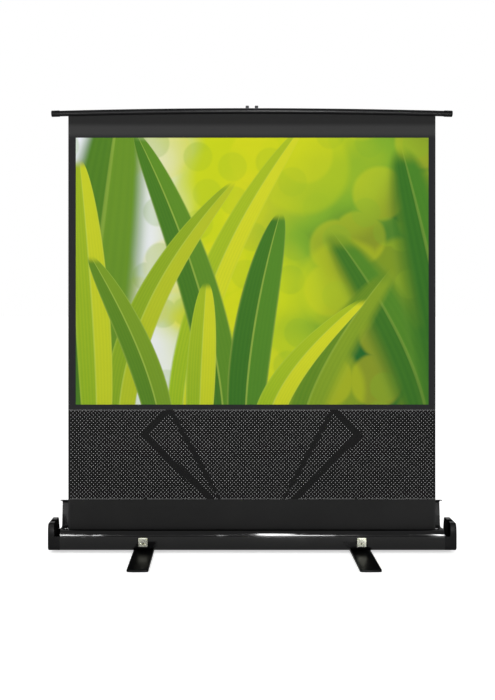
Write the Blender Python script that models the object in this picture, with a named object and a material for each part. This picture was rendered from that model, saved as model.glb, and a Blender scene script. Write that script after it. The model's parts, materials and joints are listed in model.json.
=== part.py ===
"""Pull-up projector screen that stands on a floor case and is raised by crossed folding arms.

Metres, +Z up. The origin is on the floor under the middle of the case, and -Y is the front.
The screen is shown raised, with the lid open behind it and the feet turned out.
"""
import math

import bmesh
import bpy
from mathutils import Matrix, Vector

# Clearances, the overrun of every cut, and the fineness of round shapes
GAP = 0.0003
OVERRUN = 0.002
MERGE_DISTANCE = 0.000003
ROUND_STEPS = 20
PIN_STEPS = 14
CORNER_STEPS = 5
SHARP_ANGLE = math.radians(35)

# Case: outer sizes, walls and the rounded front shoulder over the roller
CASE_DEPTH = 0.100
CASE_HEIGHT = 0.094
CASE_LIFT = 0.011
BODY_WALL = 0.0025
BODY_HEIGHT = 0.049
BODY_CORNER = 0.006
BODY_FRONT_CORNER = 0.014
LEDGE_DEPTH = 0.003
SHOULDER_RUN = 0.017
SHOULDER_RISE = 0.020
HINGE_BEAD = 0.003
BEAD_RAISE_SHARE = 0.9

# End caps: moulded cups with a tongue at each end of the lid, and a pocket for the bar's end
CAP_WIDTH = 0.041
CAP_WALL = 0.004
CAP_RIM_WIDTH = 0.023
CAP_TOP_WIDTH = 0.020
CAP_FRONT_RUN = 0.014
CAP_FRONT_RISE = 0.040
CAP_REAR_CORNER = 0.012
CAP_EDGE = 0.005
CAP_EDGE_STEPS = 3
POCKET_SIDE_ROOM = 0.004
POCKET_DEPTH = 0.030

# Lid: a bent aluminium cover with a snap-on hinge socket
LID_WALL = 0.0016
LID_OPEN_ANGLE = math.radians(97)
LID_END_ROOM = 0.0007
LID_LIP = 0.002
SOCKET_WALL = 0.002
SOCKET_START_DEG = 50
SOCKET_END_DEG = 235

# Fabric: picture area with black borders, perforated drop and plain lower band
PICTURE_WIDTH = 1.219
PICTURE_HEIGHT = 0.914
SIDE_BORDER = 0.025
TOP_BORDER = 0.0882
LOWER_BORDER = 0.022
BAND_HEIGHT = 0.135
FABRIC_THICKNESS = 0.0006
FABRIC_COLUMNS = 24

# Roller in the front of the case, with its return spring
ROLLER_HEIGHT = 0.044
ROLLER_SETBACK = 0.026
ROLLER_RADIUS = 0.0165
ROLLER_WALL = 0.0015
ROLL_THICKNESS = 0.0015
ROLLER_END_ROOM = 0.006
ROLLER_PIN_RADIUS = 0.004
ROLLER_PLUG_LENGTH = 0.020
BEARING_PLATE = 0.003
BEARING_WIDTH = 0.026
SPRING_TURNS = 18
SPRING_POINTS_PER_TURN = 8
SPRING_LENGTH = 0.220
SPRING_RADIUS = 0.0105
SPRING_WIRE = 0.001
ARBOR_RADIUS = 0.004

# Top bar, bowed up by the pull of the fabric, with its caps and hanger
BAR_RISE = 0.0259
BAR_RADIUS = 0.0098
BAR_WALL = 0.0018
BAR_BOW = 0.010
BAR_OVERHANG = 0.056
BAR_END_ROOM = 0.003
BAR_STATIONS = 12
BAR_SLOT = 0.0024
BAR_CAP_LENGTH = 0.026
BAR_CAP_RADIUS = 0.011
BAR_PLUG_LENGTH = 0.014
BAR_CAP_EDGE = 0.001
BAR_CAP_END = 0.002
HEM_RADIUS = 0.0030
HANGER_WIDTH = 0.043
HANGER_GAP = 0.021
HANGER_LUG = 0.0075
HANGER_THICKNESS = 0.003
SADDLE_START_DEG = 150
SADDLE_END_DEG = -60

# Folding arms: flat bars in three layers behind the fabric
FOLD_ANGLE = math.radians(44.38)
ARM_HALF = 0.5219
ARM_WIDTH = 0.020
ARM_THICKNESS = 0.006
ARM_EDGE = 0.0008
ARM_LAYER_GAP = 0.0005
ARM_LAYER_START = 0.002
KNUCKLE_RADIUS = 0.012
PIN_RADIUS = 0.004
PIN_HEAD_RADIUS = 0.0075
PIN_HEAD_THICKNESS = 0.0014
HEAD_CROWN_SHARE = 0.8
BASE_PIVOT_HEIGHT = 0.034

# Gas struts beside the lower arms
STRUT_REACH = 0.122
STRUT_PLANE = 0.032
STRUT_RADIUS = 0.0080
STRUT_BORE = 0.0056
STRUT_NECK = 0.0046
STRUT_CRIMP = 0.0018
STRUT_LENGTH = 0.300
STRUT_CLOSED_END = 0.022
ROD_RADIUS = 0.0040
ROD_OVERLAP = 0.045
ROD_PISTON = 0.0052
STRUT_EYE_RADIUS = 0.0075
STRUT_EYE_THICKNESS = 0.010
STRUT_ANCHOR_OFFSET = 0.036
ANCHOR_STUD_RADIUS = 0.0035

# Base bracket on the floor of the case
BRACKET_FOOT = 0.036
BRACKET_FOOT_THICKNESS = 0.003
BRACKET_WIDTH = 0.110
BRACKET_TOP_ROOM = 0.011

# Feet that turn on a rivet under the case
FOOT_SPACING = 0.744
FOOT_LENGTH = 0.500
FOOT_WIDTH = 0.070
FOOT_THICKNESS = 0.008
FOOT_CORNER = 0.005
FOOT_EDGE = 0.002
FOOT_RECESS = 0.0045
FOOT_RIB = 0.003
FOOT_BULGE = 0.002
BULGE_HALF_DEG = 60
PAD_LENGTH = 0.046
PAD_WIDTH = 0.030
PAD_INSET = 0.010
RIVET_RADIUS = 0.005
RIVET_HEAD_RADIUS = 0.011
RIVET_HEAD_THICKNESS = 0.002
WASHER_RADIUS = 0.018
WASHER_THICKNESS = 0.0015

# Latches on the front and their keepers on the lid
LATCH_WIDTH = 0.030
LATCH_HEIGHT = 0.029
LATCH_PLATE = 0.0012
LATCH_TOP_ROOM = 0.003
HASP_THICKNESS = 0.0016
HASP_GAP = 0.0012
HINGE_PIN_RADIUS = 0.0012
HINGE_KNUCKLE_RADIUS = 0.0022
KEEPER_WIDTH = 0.014
KEEPER_HEIGHT = 0.016
KEEPER_STEM = 0.004

# Places worked out from the sizes above
FABRIC_HALF = PICTURE_WIDTH / 2 + SIDE_BORDER
BAR_HALF = FABRIC_HALF + BAR_OVERHANG
HALF_LENGTH = BAR_HALF + BAR_END_ROOM + CAP_WALL
FRONT = -CASE_DEPTH / 2
REAR = CASE_DEPTH / 2
BOTTOM = CASE_LIFT
FLOOR_TOP = BOTTOM + BODY_WALL
RIM = BOTTOM + BODY_HEIGHT
TOP = BOTTOM + CASE_HEIGHT
BODY_HALF = HALF_LENGTH - CAP_WIDTH - GAP
HINGE_Y = REAR - BODY_WALL / 2
HINGE_Z = RIM + HINGE_BEAD * BEAD_RAISE_SHARE
ROLLER_Y = FRONT + ROLLER_SETBACK
ROLL_RADIUS = ROLLER_RADIUS + ROLL_THICKNESS
FABRIC_Y = ROLLER_Y + ROLL_RADIUS + GAP + FABRIC_THICKNESS / 2
ARM_RISE = ARM_HALF * math.sin(FOLD_ANGLE)
ARM_RUN = ARM_HALF * math.cos(FOLD_ANGLE)
TOP_PIVOT_HEIGHT = BASE_PIVOT_HEIGHT + 4 * ARM_RISE
BAR_HEIGHT = TOP_PIVOT_HEIGHT + BAR_RISE
PICTURE_BOTTOM = BAR_HEIGHT - BAR_RADIUS - TOP_BORDER - PICTURE_HEIGHT
LAYER_PITCH = ARM_THICKNESS + ARM_LAYER_GAP


def material(name, colour, roughness, metallic=0.0):
    made = bpy.data.materials.new(name)
    made.use_nodes = True
    shader = made.node_tree.nodes["Principled BSDF"]
    shader.inputs["Base Color"].default_value = (*colour, 1)
    shader.inputs["Roughness"].default_value = roughness
    shader.inputs["Metallic"].default_value = metallic
    return made


def arc(centre, radii, start_deg, end_deg, steps=CORNER_STEPS):
    """Points on a circle or an ellipse, from one angle to another."""
    points = []
    for i in range(steps + 1):
        angle = math.radians(start_deg + (end_deg - start_deg) * i / steps)
        points.append((centre[0] + radii[0] * math.cos(angle), centre[1] + radii[1] * math.sin(angle)))
    return points


def band(path, wall):
    """Closed outline of a strip: a path and its copy moved to the left by the wall."""
    moved = []
    for i, point in enumerate(path):
        before = Vector(path[max(i - 1, 0)])
        after = Vector(path[min(i + 1, len(path) - 1)])
        here = Vector(point)
        first = (here - before) if i else (after - here)
        last = (after - here) if i < len(path) - 1 else first
        left_first = Vector((-first.y, first.x)).normalized()
        left_last = Vector((-last.y, last.x)).normalized()
        mitre = (left_first + left_last) / (1 + left_first.dot(left_last))
        moved.append(tuple(here + mitre * wall))
    return list(path) + moved[::-1]


def turned_about(points, centre, angle):
    """Points of an outline turned about a centre."""
    cosine, sine = math.cos(angle), math.sin(angle)
    result = []
    for u, v in points:
        du, dv = u - centre[0], v - centre[1]
        result.append((centre[0] + du * cosine - dv * sine, centre[1] + du * sine + dv * cosine))
    return result


def to_space(u, v, along, axis):
    """An outline's point in space: the outline's plane is square to the axis."""
    if axis == "X":
        return Vector((along, u, v))
    if axis == "Y":
        return Vector((u, along, v))
    return Vector((u, v, along))


def extruded(outline, axis, start, end):
    """A bmesh of an outline carried along an axis."""
    bm = bmesh.new()
    face = bm.faces.new([bm.verts.new(to_space(u, v, start, axis)) for u, v in outline])
    grown = bmesh.ops.extrude_face_region(bm, geom=[face])
    moved = [item for item in grown["geom"] if isinstance(item, bmesh.types.BMVert)]
    bmesh.ops.translate(bm, verts=moved, vec=to_space(0, 0, end - start, axis))
    return bm


def revolved(profile, axis, steps=ROUND_STEPS):
    """A bmesh of (radius, height) points spun about an axis; both ends lie on it, or it closes."""
    bm = bmesh.new()
    verts = [bm.verts.new((radius, 0, height)) for radius, height in profile]
    pairs = list(zip(verts, verts[1:]))
    if profile[0][0] > 0:
        pairs.append((verts[-1], verts[0]))
    edges = [bm.edges.new(pair) for pair in pairs]
    bmesh.ops.spin(bm, geom=verts + edges, cent=(0, 0, 0), axis=(0, 0, 1),
                   angle=math.tau, steps=steps, use_merge=True)
    bmesh.ops.remove_doubles(bm, verts=bm.verts, dist=MERGE_DISTANCE)
    if axis == "X":
        bmesh.ops.rotate(bm, verts=bm.verts, matrix=Matrix.Rotation(math.pi / 2, 3, "Y"))
    if axis == "Y":
        bmesh.ops.rotate(bm, verts=bm.verts, matrix=Matrix.Rotation(-math.pi / 2, 3, "X"))
    return bm


def rod(radius, axis, start, end, steps=ROUND_STEPS):
    return revolved([(0, start), (radius, start), (radius, end), (0, end)], axis, steps)


def solid(name, bm, finish, place=(0, 0, 0), tilt=0.0, smooth=True):
    """One named object; tilt turns it about Y, positive from +X towards +Z."""
    bmesh.ops.recalc_face_normals(bm, faces=bm.faces)
    mesh = bpy.data.meshes.new(name)
    bm.to_mesh(mesh)
    bm.free()
    if smooth:
        mesh.shade_smooth()
        mesh.set_sharp_from_angle(angle=SHARP_ANGLE)
    made = bpy.data.objects.new(name, mesh)
    made.location = place
    made.rotation_euler = (0, -tilt, 0)
    if finish:
        mesh.materials.append(finish)
    bpy.context.scene.collection.objects.link(made)
    return made


def cut(target, bm, operation="DIFFERENCE"):
    """Cuts a shape, given in the target's own frame, out of the target, or adds it."""
    tool = solid(f"{target.name}_tool_{len(target.modifiers)}", bm, None, smooth=False)
    tool.location = target.location
    tool.rotation_euler = target.rotation_euler
    tool.hide_render = True
    tool.display_type = "WIRE"
    modifier = target.modifiers.new("Cut", "BOOLEAN")
    modifier.operation = operation
    modifier.object = tool
    return target


def bevelled(target, width):
    modifier = target.modifiers.new("Edge", "BEVEL")
    modifier.width = width
    modifier.segments = 1
    modifier.limit_method = "ANGLE"
    return target


def rounded_box_outline(low, high, radius):
    """Rectangle with round corners between two opposite corners."""
    (u0, v0), (u1, v1) = low, high
    radii = (radius, radius)
    return (arc((u1 - radius, v0 + radius), radii, -90, 0) + arc((u1 - radius, v1 - radius), radii, 0, 90)
            + arc((u0 + radius, v1 - radius), radii, 90, 180)
            + arc((u0 + radius, v0 + radius), radii, 180, 270))


def case_body(finish):
    """Aluminium extrusion: front wall, ledge and shoulder, floor, rear wall and hinge bead."""
    ledge = FRONT + LEDGE_DEPTH
    shoulder = arc((ledge + SHOULDER_RUN, RIM), (SHOULDER_RUN, SHOULDER_RISE), 90, 180)
    corner, front_corner = (BODY_CORNER, BODY_CORNER), (BODY_FRONT_CORNER, BODY_FRONT_CORNER)
    path = shoulder + [(FRONT, RIM)]
    path += arc((FRONT + BODY_FRONT_CORNER, BOTTOM + BODY_FRONT_CORNER), front_corner, 180, 270)
    path += arc((REAR - BODY_CORNER, BOTTOM + BODY_CORNER), corner, 270, 360)
    path += [(REAR, RIM)]
    body = solid("case_body", extruded(band(path, BODY_WALL), "X", -BODY_HALF, BODY_HALF), finish)
    bead = rod(HINGE_BEAD, "X", -BODY_HALF, BODY_HALF)
    bmesh.ops.translate(bead, verts=bead.verts, vec=(0, HINGE_Y, HINGE_Z))
    cut(body, bead, "UNION")
    for side in (-1, 1):
        hole = rod(RIVET_RADIUS + GAP, "Z", BOTTOM - OVERRUN, FLOOR_TOP + OVERRUN)
        bmesh.ops.translate(hole, verts=hole.verts, vec=(side * FOOT_SPACING / 2, 0, 0))
        cut(body, hole)
    return body


def cap_outline(inset):
    """The closed case's end view, drawn in from its edge by a wall."""
    def corner(radius):
        return (radius - inset, radius - inset)
    low_front = (FRONT + BODY_FRONT_CORNER, BOTTOM + BODY_FRONT_CORNER)
    low_rear = (REAR - BODY_CORNER, BOTTOM + BODY_CORNER)
    high_rear = (REAR - CAP_REAR_CORNER, TOP - CAP_REAR_CORNER)
    high_front = (FRONT + CAP_FRONT_RUN, TOP - CAP_FRONT_RISE)
    return (arc(low_front, corner(BODY_FRONT_CORNER), 180, 270) + arc(low_rear, corner(BODY_CORNER), 270, 360)
            + arc(high_rear, corner(CAP_REAR_CORNER), 0, 90)
            + arc(high_front, (CAP_FRONT_RUN - inset, CAP_FRONT_RISE - inset), 90, 180))


def stacked(outlines, stations):
    """A bmesh of outlines of one point count, joined in turn at places along X and closed at both ends."""
    bm = bmesh.new()
    rings = [[bm.verts.new((x, y, z)) for y, z in outline] for outline, x in zip(outlines, stations)]
    for ring, following in zip(rings, rings[1:]):
        for j in range(len(ring)):
            k = (j + 1) % len(ring)
            bm.faces.new((ring[j], ring[k], following[k], following[j]))
    bm.faces.new(rings[0])
    bm.faces.new(rings[-1])
    return bm


def end_cap(name, side, finish):
    """Moulded cup with a rounded end, open inwards, with a tongue and a pocket for the bar's end."""
    inner = HALF_LENGTH - CAP_WIDTH
    turns = [math.pi / 2 * i / CAP_EDGE_STEPS for i in range(CAP_EDGE_STEPS + 1)]
    outlines = [cap_outline(CAP_EDGE * (1 - math.sin(turn))) for turn in turns] + [cap_outline(0)]
    stations = [side * (HALF_LENGTH - CAP_EDGE * (1 - math.cos(turn))) for turn in turns] + [side * inner]
    cap = solid(name, stacked(outlines, stations), finish)
    hollow = side * (HALF_LENGTH - CAP_WALL)
    cut(cap, extruded(cap_outline(CAP_WALL), "X", side * (inner - OVERRUN), hollow))
    start, rim_inner = side * (inner - OVERRUN), side * (HALF_LENGTH - CAP_RIM_WIDTH)
    top_inner = side * (HALF_LENGTH - CAP_TOP_WIDTH)
    lid_room = [(start, RIM), (rim_inner, RIM), (top_inner, TOP), (top_inner, TOP + OVERRUN),
                (start, TOP + OVERRUN)]
    cut(cap, extruded(lid_room, "Y", FRONT - OVERRUN, REAR + OVERRUN))
    pocket = rounded_box_outline((FABRIC_Y - BAR_CAP_RADIUS - POCKET_SIDE_ROOM, TOP - POCKET_DEPTH),
                                 (FABRIC_Y + BAR_CAP_RADIUS + POCKET_SIDE_ROOM, TOP + POCKET_DEPTH),
                                 POCKET_SIDE_ROOM)
    return cut(cap, extruded(pocket, "X", start, hollow))


def lid(finish):
    """Bent cover, open: rear wall, top and rounded front, with a socket round the hinge bead."""
    front_corner = (CAP_FRONT_RUN, CAP_FRONT_RISE)
    rear_corner = (CAP_REAR_CORNER, CAP_REAR_CORNER)
    path = [(FRONT + LID_LIP, RIM + GAP), (FRONT, RIM + LID_LIP)]
    path += arc((FRONT + CAP_FRONT_RUN, TOP - CAP_FRONT_RISE), front_corner, 180, 90)
    path += arc((REAR - CAP_REAR_CORNER, TOP - CAP_REAR_CORNER), rear_corner, 90, 0)
    path += [(REAR, HINGE_Z + HINGE_BEAD + SOCKET_WALL / 2)]
    centre = (HINGE_Y, HINGE_Z)
    lift = -LID_OPEN_ANGLE
    outline = turned_about(band(path, -LID_WALL), centre, lift)
    half = HALF_LENGTH - CAP_RIM_WIDTH - LID_END_ROOM
    cover = solid("lid", extruded(outline, "X", -half, half), finish, (0, HINGE_Y, HINGE_Z))
    cover.data.transform(Matrix.Translation((0, -HINGE_Y, -HINGE_Z)))
    inner = HINGE_BEAD + GAP
    outer = inner + SOCKET_WALL
    socket = arc((0, 0), (outer, outer), SOCKET_START_DEG, SOCKET_END_DEG, ROUND_STEPS // 2)
    socket += arc((0, 0), (inner, inner), SOCKET_END_DEG, SOCKET_START_DEG, ROUND_STEPS // 2)
    return cut(cover, extruded(turned_about(socket, (0, 0), lift), "X", -BODY_HALF, BODY_HALF), "UNION")


def lid_keeper(name, side, finish):
    """Small hook plate on the lid's front, which the latch closes over."""
    place = side * FOOT_SPACING / 2
    low = RIM + KEEPER_STEM
    outer = FRONT - GAP
    outline = [(outer, low), (outer, low + KEEPER_HEIGHT), (outer - HASP_THICKNESS, low + KEEPER_HEIGHT),
               (outer - HASP_THICKNESS, low + KEEPER_STEM), (outer - 2 * HASP_THICKNESS, low + KEEPER_STEM),
               (outer - 2 * HASP_THICKNESS, low)]
    outline = turned_about(outline, (HINGE_Y, HINGE_Z), -LID_OPEN_ANGLE)
    half = KEEPER_WIDTH / 2
    keeper = solid(name, extruded(outline, "X", place - half, place + half), finish, (0, HINGE_Y, HINGE_Z))
    keeper.data.transform(Matrix.Translation((0, -HINGE_Y, -HINGE_Z)))
    return keeper


def latch(side_name, side, finish):
    """Square plate on the case's front, and the hasp that hangs from its hinge pin."""
    place = side * FOOT_SPACING / 2
    top = RIM - LATCH_TOP_ROOM
    face = FRONT - GAP
    half = LATCH_WIDTH / 2
    pin_y = face - LATCH_PLATE - HINGE_KNUCKLE_RADIUS - GAP
    pin_z = top - HINGE_KNUCKLE_RADIUS
    bore = HINGE_PIN_RADIUS + GAP
    radii = (HINGE_KNUCKLE_RADIUS, HINGE_KNUCKLE_RADIUS)
    low = top - LATCH_HEIGHT
    ends = (place - half, place + half)
    front = face - LATCH_PLATE
    plate = solid(f"latch_plate_{side_name}",
                  extruded([(face, low), (face, top), (front, top), (front, low)], "X", *ends), finish)
    knuckle_width = LATCH_WIDTH / 6
    middle_half = half - knuckle_width - GAP
    knuckle = arc((pin_y, pin_z), radii, 90, 270, ROUND_STEPS // 4)
    knuckle += [(face - LATCH_PLATE / 2, pin_z - HINGE_KNUCKLE_RADIUS),
                (face - LATCH_PLATE / 2, pin_z + HINGE_KNUCKLE_RADIUS)]
    for sign in (-1, 1):
        lug = extruded(knuckle, "X", place + sign * (middle_half + GAP), place + sign * half)
        cut(plate, lug, "UNION")
    hole = rod(bore, "X", place - half - OVERRUN, place + half + OVERRUN, ROUND_STEPS // 2)
    bmesh.ops.translate(hole, verts=hole.verts, vec=(0, pin_y, pin_z))
    cut(plate, hole)
    solid(f"latch_pin_{side_name}", rod(HINGE_PIN_RADIUS, "X", *ends, ROUND_STEPS // 2), finish,
          (0, pin_y, pin_z))
    outer = -HINGE_KNUCKLE_RADIUS
    leaf = arc((0, 0), radii, -90, 180, ROUND_STEPS // 2)
    leaf += [(outer, low - pin_z), (outer + HASP_THICKNESS, low - pin_z), (outer + HASP_THICKNESS, outer)]
    hasp = solid(f"latch_hasp_{side_name}", extruded(leaf, "X", *ends), finish, (0, pin_y, pin_z))
    notch_low = -HINGE_KNUCKLE_RADIUS - HASP_GAP
    for sign in (-1, 1):
        notch = [(2 * outer, notch_low), (-2 * outer, notch_low), (-2 * outer, -2 * outer),
                 (2 * outer, -2 * outer)]
        cut(hasp, extruded(notch, "X", place + sign * middle_half, place + sign * (half + OVERRUN)))
    cut(hasp, rod(bore, "X", place - half, place + half, ROUND_STEPS // 2))
    window = rounded_box_outline((place - KEEPER_WIDTH / 2 - HASP_GAP, -LATCH_HEIGHT / 2 - KEEPER_STEM),
                                 (place + KEEPER_WIDTH / 2 + HASP_GAP, -LATCH_HEIGHT / 2), HASP_GAP)
    cut(hasp, extruded(window, "Y", outer - OVERRUN, OVERRUN))


def roller(tube_finish, steel, cloth):
    """Tube on two pins, the wraps of cloth left on it, and the spring that winds it."""
    half = BODY_HALF - BEARING_PLATE - ROLLER_END_ROOM
    place = (0, ROLLER_Y, ROLLER_HEIGHT)
    inner = ROLLER_RADIUS - ROLLER_WALL
    tube = [(inner, -half), (ROLLER_RADIUS, -half), (ROLLER_RADIUS, half), (inner, half)]
    solid("roller_tube", revolved(tube, "X"), tube_finish, place)
    low = ROLLER_RADIUS + GAP
    roll = [(low, -FABRIC_HALF), (ROLL_RADIUS, -FABRIC_HALF), (ROLL_RADIUS, FABRIC_HALF), (low, FABRIC_HALF)]
    solid("cloth_roll", revolved(roll, "X"), cloth, place)
    plug = inner - GAP
    back = half - ROLLER_PLUG_LENGTH
    seat = half + GAP
    flange = half + ROLLER_END_ROOM / 2
    outer = BODY_HALF + ROLLER_END_ROOM
    stepped = [(plug, back), (plug, seat), (ROLLER_RADIUS, seat), (ROLLER_RADIUS, flange)]
    pinned = [(0, back)] + stepped + [(ROLLER_PIN_RADIUS, flange), (ROLLER_PIN_RADIUS, outer), (0, outer)]
    solid("roller_plug_right", revolved(pinned, "X"), steel, place)
    bore = ARBOR_RADIUS + GAP
    bored = [(radius, -height) for radius, height in [(bore, back)] + stepped + [(bore, flange)]]
    solid("roller_plug_left", revolved(bored, "X"), steel, place)
    spring_start = -(back - GAP)
    spring_end = spring_start + SPRING_LENGTH
    solid("spring_arbor", rod(ARBOR_RADIUS, "X", -outer, spring_end + ROLLER_PLUG_LENGTH), steel, place)
    return_spring(spring_start + SPRING_WIRE, spring_end, steel)


def return_spring(start, end, steel):
    """Coil round the arbor inside the tube: a helix whose pitch is its length over its turns."""
    points = SPRING_TURNS * SPRING_POINTS_PER_TURN
    curve = bpy.data.curves.new("return_spring", "CURVE")
    curve.dimensions = "3D"
    curve.bevel_depth = SPRING_WIRE
    curve.bevel_resolution = 1
    curve.use_fill_caps = True
    spline = curve.splines.new("POLY")
    spline.points.add(points)
    for i, point in enumerate(spline.points):
        turn = math.tau * i / SPRING_POINTS_PER_TURN
        along = start + (end - start) * i / points
        point.co = (along, SPRING_RADIUS * math.cos(turn), SPRING_RADIUS * math.sin(turn), 1)
    curve.materials.append(steel)
    spring = bpy.data.objects.new("return_spring", curve)
    spring.location = (0, ROLLER_Y, ROLLER_HEIGHT)
    bpy.context.scene.collection.objects.link(spring)
    print("spring gap mm", round(((end - start) / SPRING_TURNS - 2 * SPRING_WIRE) * 1000, 2))


def bearing_plate(name, side, finish):
    """Steel plate across the case's end that holds the roller's pin."""
    start = BODY_HALF - BEARING_PLATE
    low = FLOOR_TOP + GAP
    top = ROLLER_HEIGHT + BEARING_WIDTH / 2
    front = FRONT + BODY_WALL + GAP
    outline = [(front + BODY_FRONT_CORNER, low), (REAR - BODY_WALL - GAP - BODY_CORNER, low),
               (REAR - BODY_WALL - GAP, low + BODY_CORNER), (REAR - BODY_WALL - GAP, ROLLER_HEIGHT),
               (ROLLER_Y + BEARING_WIDTH / 2, top), (ROLLER_Y - BEARING_WIDTH / 4, top),
               (front, RIM - BODY_WALL - GAP), (front, low + BODY_FRONT_CORNER)]
    plate = solid(name, extruded(outline, "X", side * start, side * BODY_HALF), finish)
    hole = rod(ROLLER_PIN_RADIUS + GAP, "X", side * (start - OVERRUN), side * (BODY_HALF + OVERRUN))
    bmesh.ops.translate(hole, verts=hole.verts, vec=(0, ROLLER_Y, ROLLER_HEIGHT))
    return cut(plate, hole)


def bow(x):
    """How far the bar's axis lies below its middle, at a distance along it."""
    return BAR_BOW * (x / HALF_LENGTH) ** 2


def cloth(name, low, high, finish, follow_bar=False):
    """Flat sheet in the fabric's plane; its top edge may follow the bar's bow."""
    bm = bmesh.new()
    rows = []
    for y in (FABRIC_Y - FABRIC_THICKNESS / 2, FABRIC_Y + FABRIC_THICKNESS / 2):
        for edge in (0, 1):
            row = []
            for i in range(FABRIC_COLUMNS + 1):
                x = FABRIC_HALF * (2 * i / FABRIC_COLUMNS - 1)
                top = high - bow(x) if follow_bar else high
                row.append(bm.verts.new((x, y, top if edge else low)))
            rows.append(row)
    front_low, front_high, back_low, back_high = rows
    for first, last in ((front_low, front_high), (front_high, back_high), (back_high, back_low),
                        (back_low, front_low)):
        for i in range(FABRIC_COLUMNS):
            bm.faces.new((first[i], first[i + 1], last[i + 1], last[i]))
    for i in (0, FABRIC_COLUMNS):
        bm.faces.new([row[i] for row in (front_low, front_high, back_high, back_low)])
    return solid(name, bm, finish, smooth=False)


def swept(outline, start, end, count, height):
    """A bmesh of a (y, z) outline carried along X on the bar's bow, closed at both ends."""
    stations = [start + (end - start) * i / count for i in range(count + 1)]
    outlines = [[(FABRIC_Y + y, height - bow(x) + z) for y, z in outline] for x in stations]
    return stacked(outlines, stations)


def top_bar(finish, cap_finish, steel):
    """Slotted tube that grips the fabric's hem, with the hem rod and a plug cap at each end."""
    inner = BAR_RADIUS - BAR_WALL
    outer_slot = math.degrees(math.asin(BAR_SLOT / 2 / BAR_RADIUS))
    inner_slot = math.degrees(math.asin(BAR_SLOT / 2 / inner))
    outline = arc((0, 0), (BAR_RADIUS, BAR_RADIUS), -90 + outer_slot, 270 - outer_slot, ROUND_STEPS)
    outline += arc((0, 0), (inner, inner), 270 - inner_slot, -90 + inner_slot, ROUND_STEPS)
    solid("top_bar", swept(outline, -BAR_HALF + GAP, BAR_HALF - GAP, BAR_STATIONS, BAR_HEIGHT), finish)
    hem = arc((0, 0), (HEM_RADIUS, HEM_RADIUS), 0, 360, ROUND_STEPS // 2)[:-1]
    hem_height = BAR_HEIGHT - inner + HEM_RADIUS + GAP
    solid("hem_rod", swept(hem, -FABRIC_HALF, FABRIC_HALF, BAR_STATIONS, hem_height), steel)
    bore, plug = BAR_RADIUS + GAP, inner - GAP
    mouth, plug_end, end = BAR_HALF - BAR_CAP_LENGTH, BAR_HALF - BAR_PLUG_LENGTH, BAR_HALF + BAR_CAP_END
    profile = [(0, plug_end), (plug, plug_end), (plug, BAR_HALF + GAP), (bore, BAR_HALF + GAP), (bore, mouth),
               (BAR_CAP_RADIUS, mouth), (BAR_CAP_RADIUS, end - BAR_CAP_EDGE),
               (BAR_CAP_RADIUS - BAR_CAP_EDGE, end), (0, end)]
    middle = BAR_HALF - BAR_CAP_LENGTH / 2
    slope = 2 * BAR_BOW * middle / HALF_LENGTH ** 2
    for side, side_name in ((-1, "left"), (1, "right")):
        cap = revolved([(radius, height - middle) for radius, height in profile], "X")
        if side < 0:
            bmesh.ops.rotate(cap, verts=cap.verts, matrix=Matrix.Rotation(math.pi, 3, "Z"))
        solid(f"bar_cap_{side_name}", cap, cap_finish,
              (side * middle, FABRIC_Y, BAR_HEIGHT - bow(middle)), -side * math.atan(slope))


def bar_hanger(finish):
    """Plate behind the fabric that carries the bar in a saddle with two lugs over it."""
    front_face = FABRIC_Y + FABRIC_THICKNESS / 2 + 3 * GAP
    plate_back = front_face + HANGER_THICKNESS
    bore = BAR_RADIUS + GAP
    low = TOP_PIVOT_HEIGHT - KNUCKLE_RADIUS
    outer = bore + HANGER_THICKNESS
    saddle = arc((FABRIC_Y, BAR_HEIGHT), (bore, bore), SADDLE_START_DEG, SADDLE_END_DEG, ROUND_STEPS // 2)
    top = BAR_HEIGHT + BAR_RADIUS + HANGER_LUG
    outline = [(front_face, low), (front_face, BAR_HEIGHT - outer)] + saddle[::-1]
    outline += [(FABRIC_Y - bore, top - HANGER_LUG / 2), (FABRIC_Y - bore / 2, top), (FABRIC_Y + bore, top),
                (FABRIC_Y + outer, top - HANGER_LUG), (FABRIC_Y + outer, BAR_HEIGHT - outer),
                (plate_back, BAR_HEIGHT - outer - HANGER_THICKNESS), (plate_back, low)]
    half = HANGER_WIDTH / 2
    hanger = solid("bar_hanger", extruded(outline, "X", -half, half), finish)
    gap = HANGER_GAP / 2
    opening = [(-gap, BAR_HEIGHT), (gap, BAR_HEIGHT), (gap, top + OVERRUN), (-gap, top + OVERRUN)]
    cut(hanger, extruded(opening, "Y", FABRIC_Y - 2 * outer, FABRIC_Y + 2 * outer))
    cut(hanger, pin_hole((0, TOP_PIVOT_HEIGHT), front_face - OVERRUN, plate_back + OVERRUN))
    seat = rod(PIN_HEAD_RADIUS + GAP, "Y", front_face - OVERRUN, front_face + PIN_HEAD_THICKNESS + 2 * GAP)
    bmesh.ops.translate(seat, verts=seat.verts, vec=(0, 0, TOP_PIVOT_HEIGHT))
    return cut(hanger, seat)


def layer(index):
    """Front and back of one of the arms' layers, counted from the fabric."""
    front = ARM_LAYER_START + index * LAYER_PITCH
    return front, front + ARM_THICKNESS


def pin_hole(place, start, end):
    """Cutter for a pin at an (x, z) place, from one depth to another."""
    hole = rod(PIN_RADIUS + GAP, "Y", start, end, PIN_STEPS)
    bmesh.ops.translate(hole, verts=hole.verts, vec=(place[0], 0, place[1]))
    return hole


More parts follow.
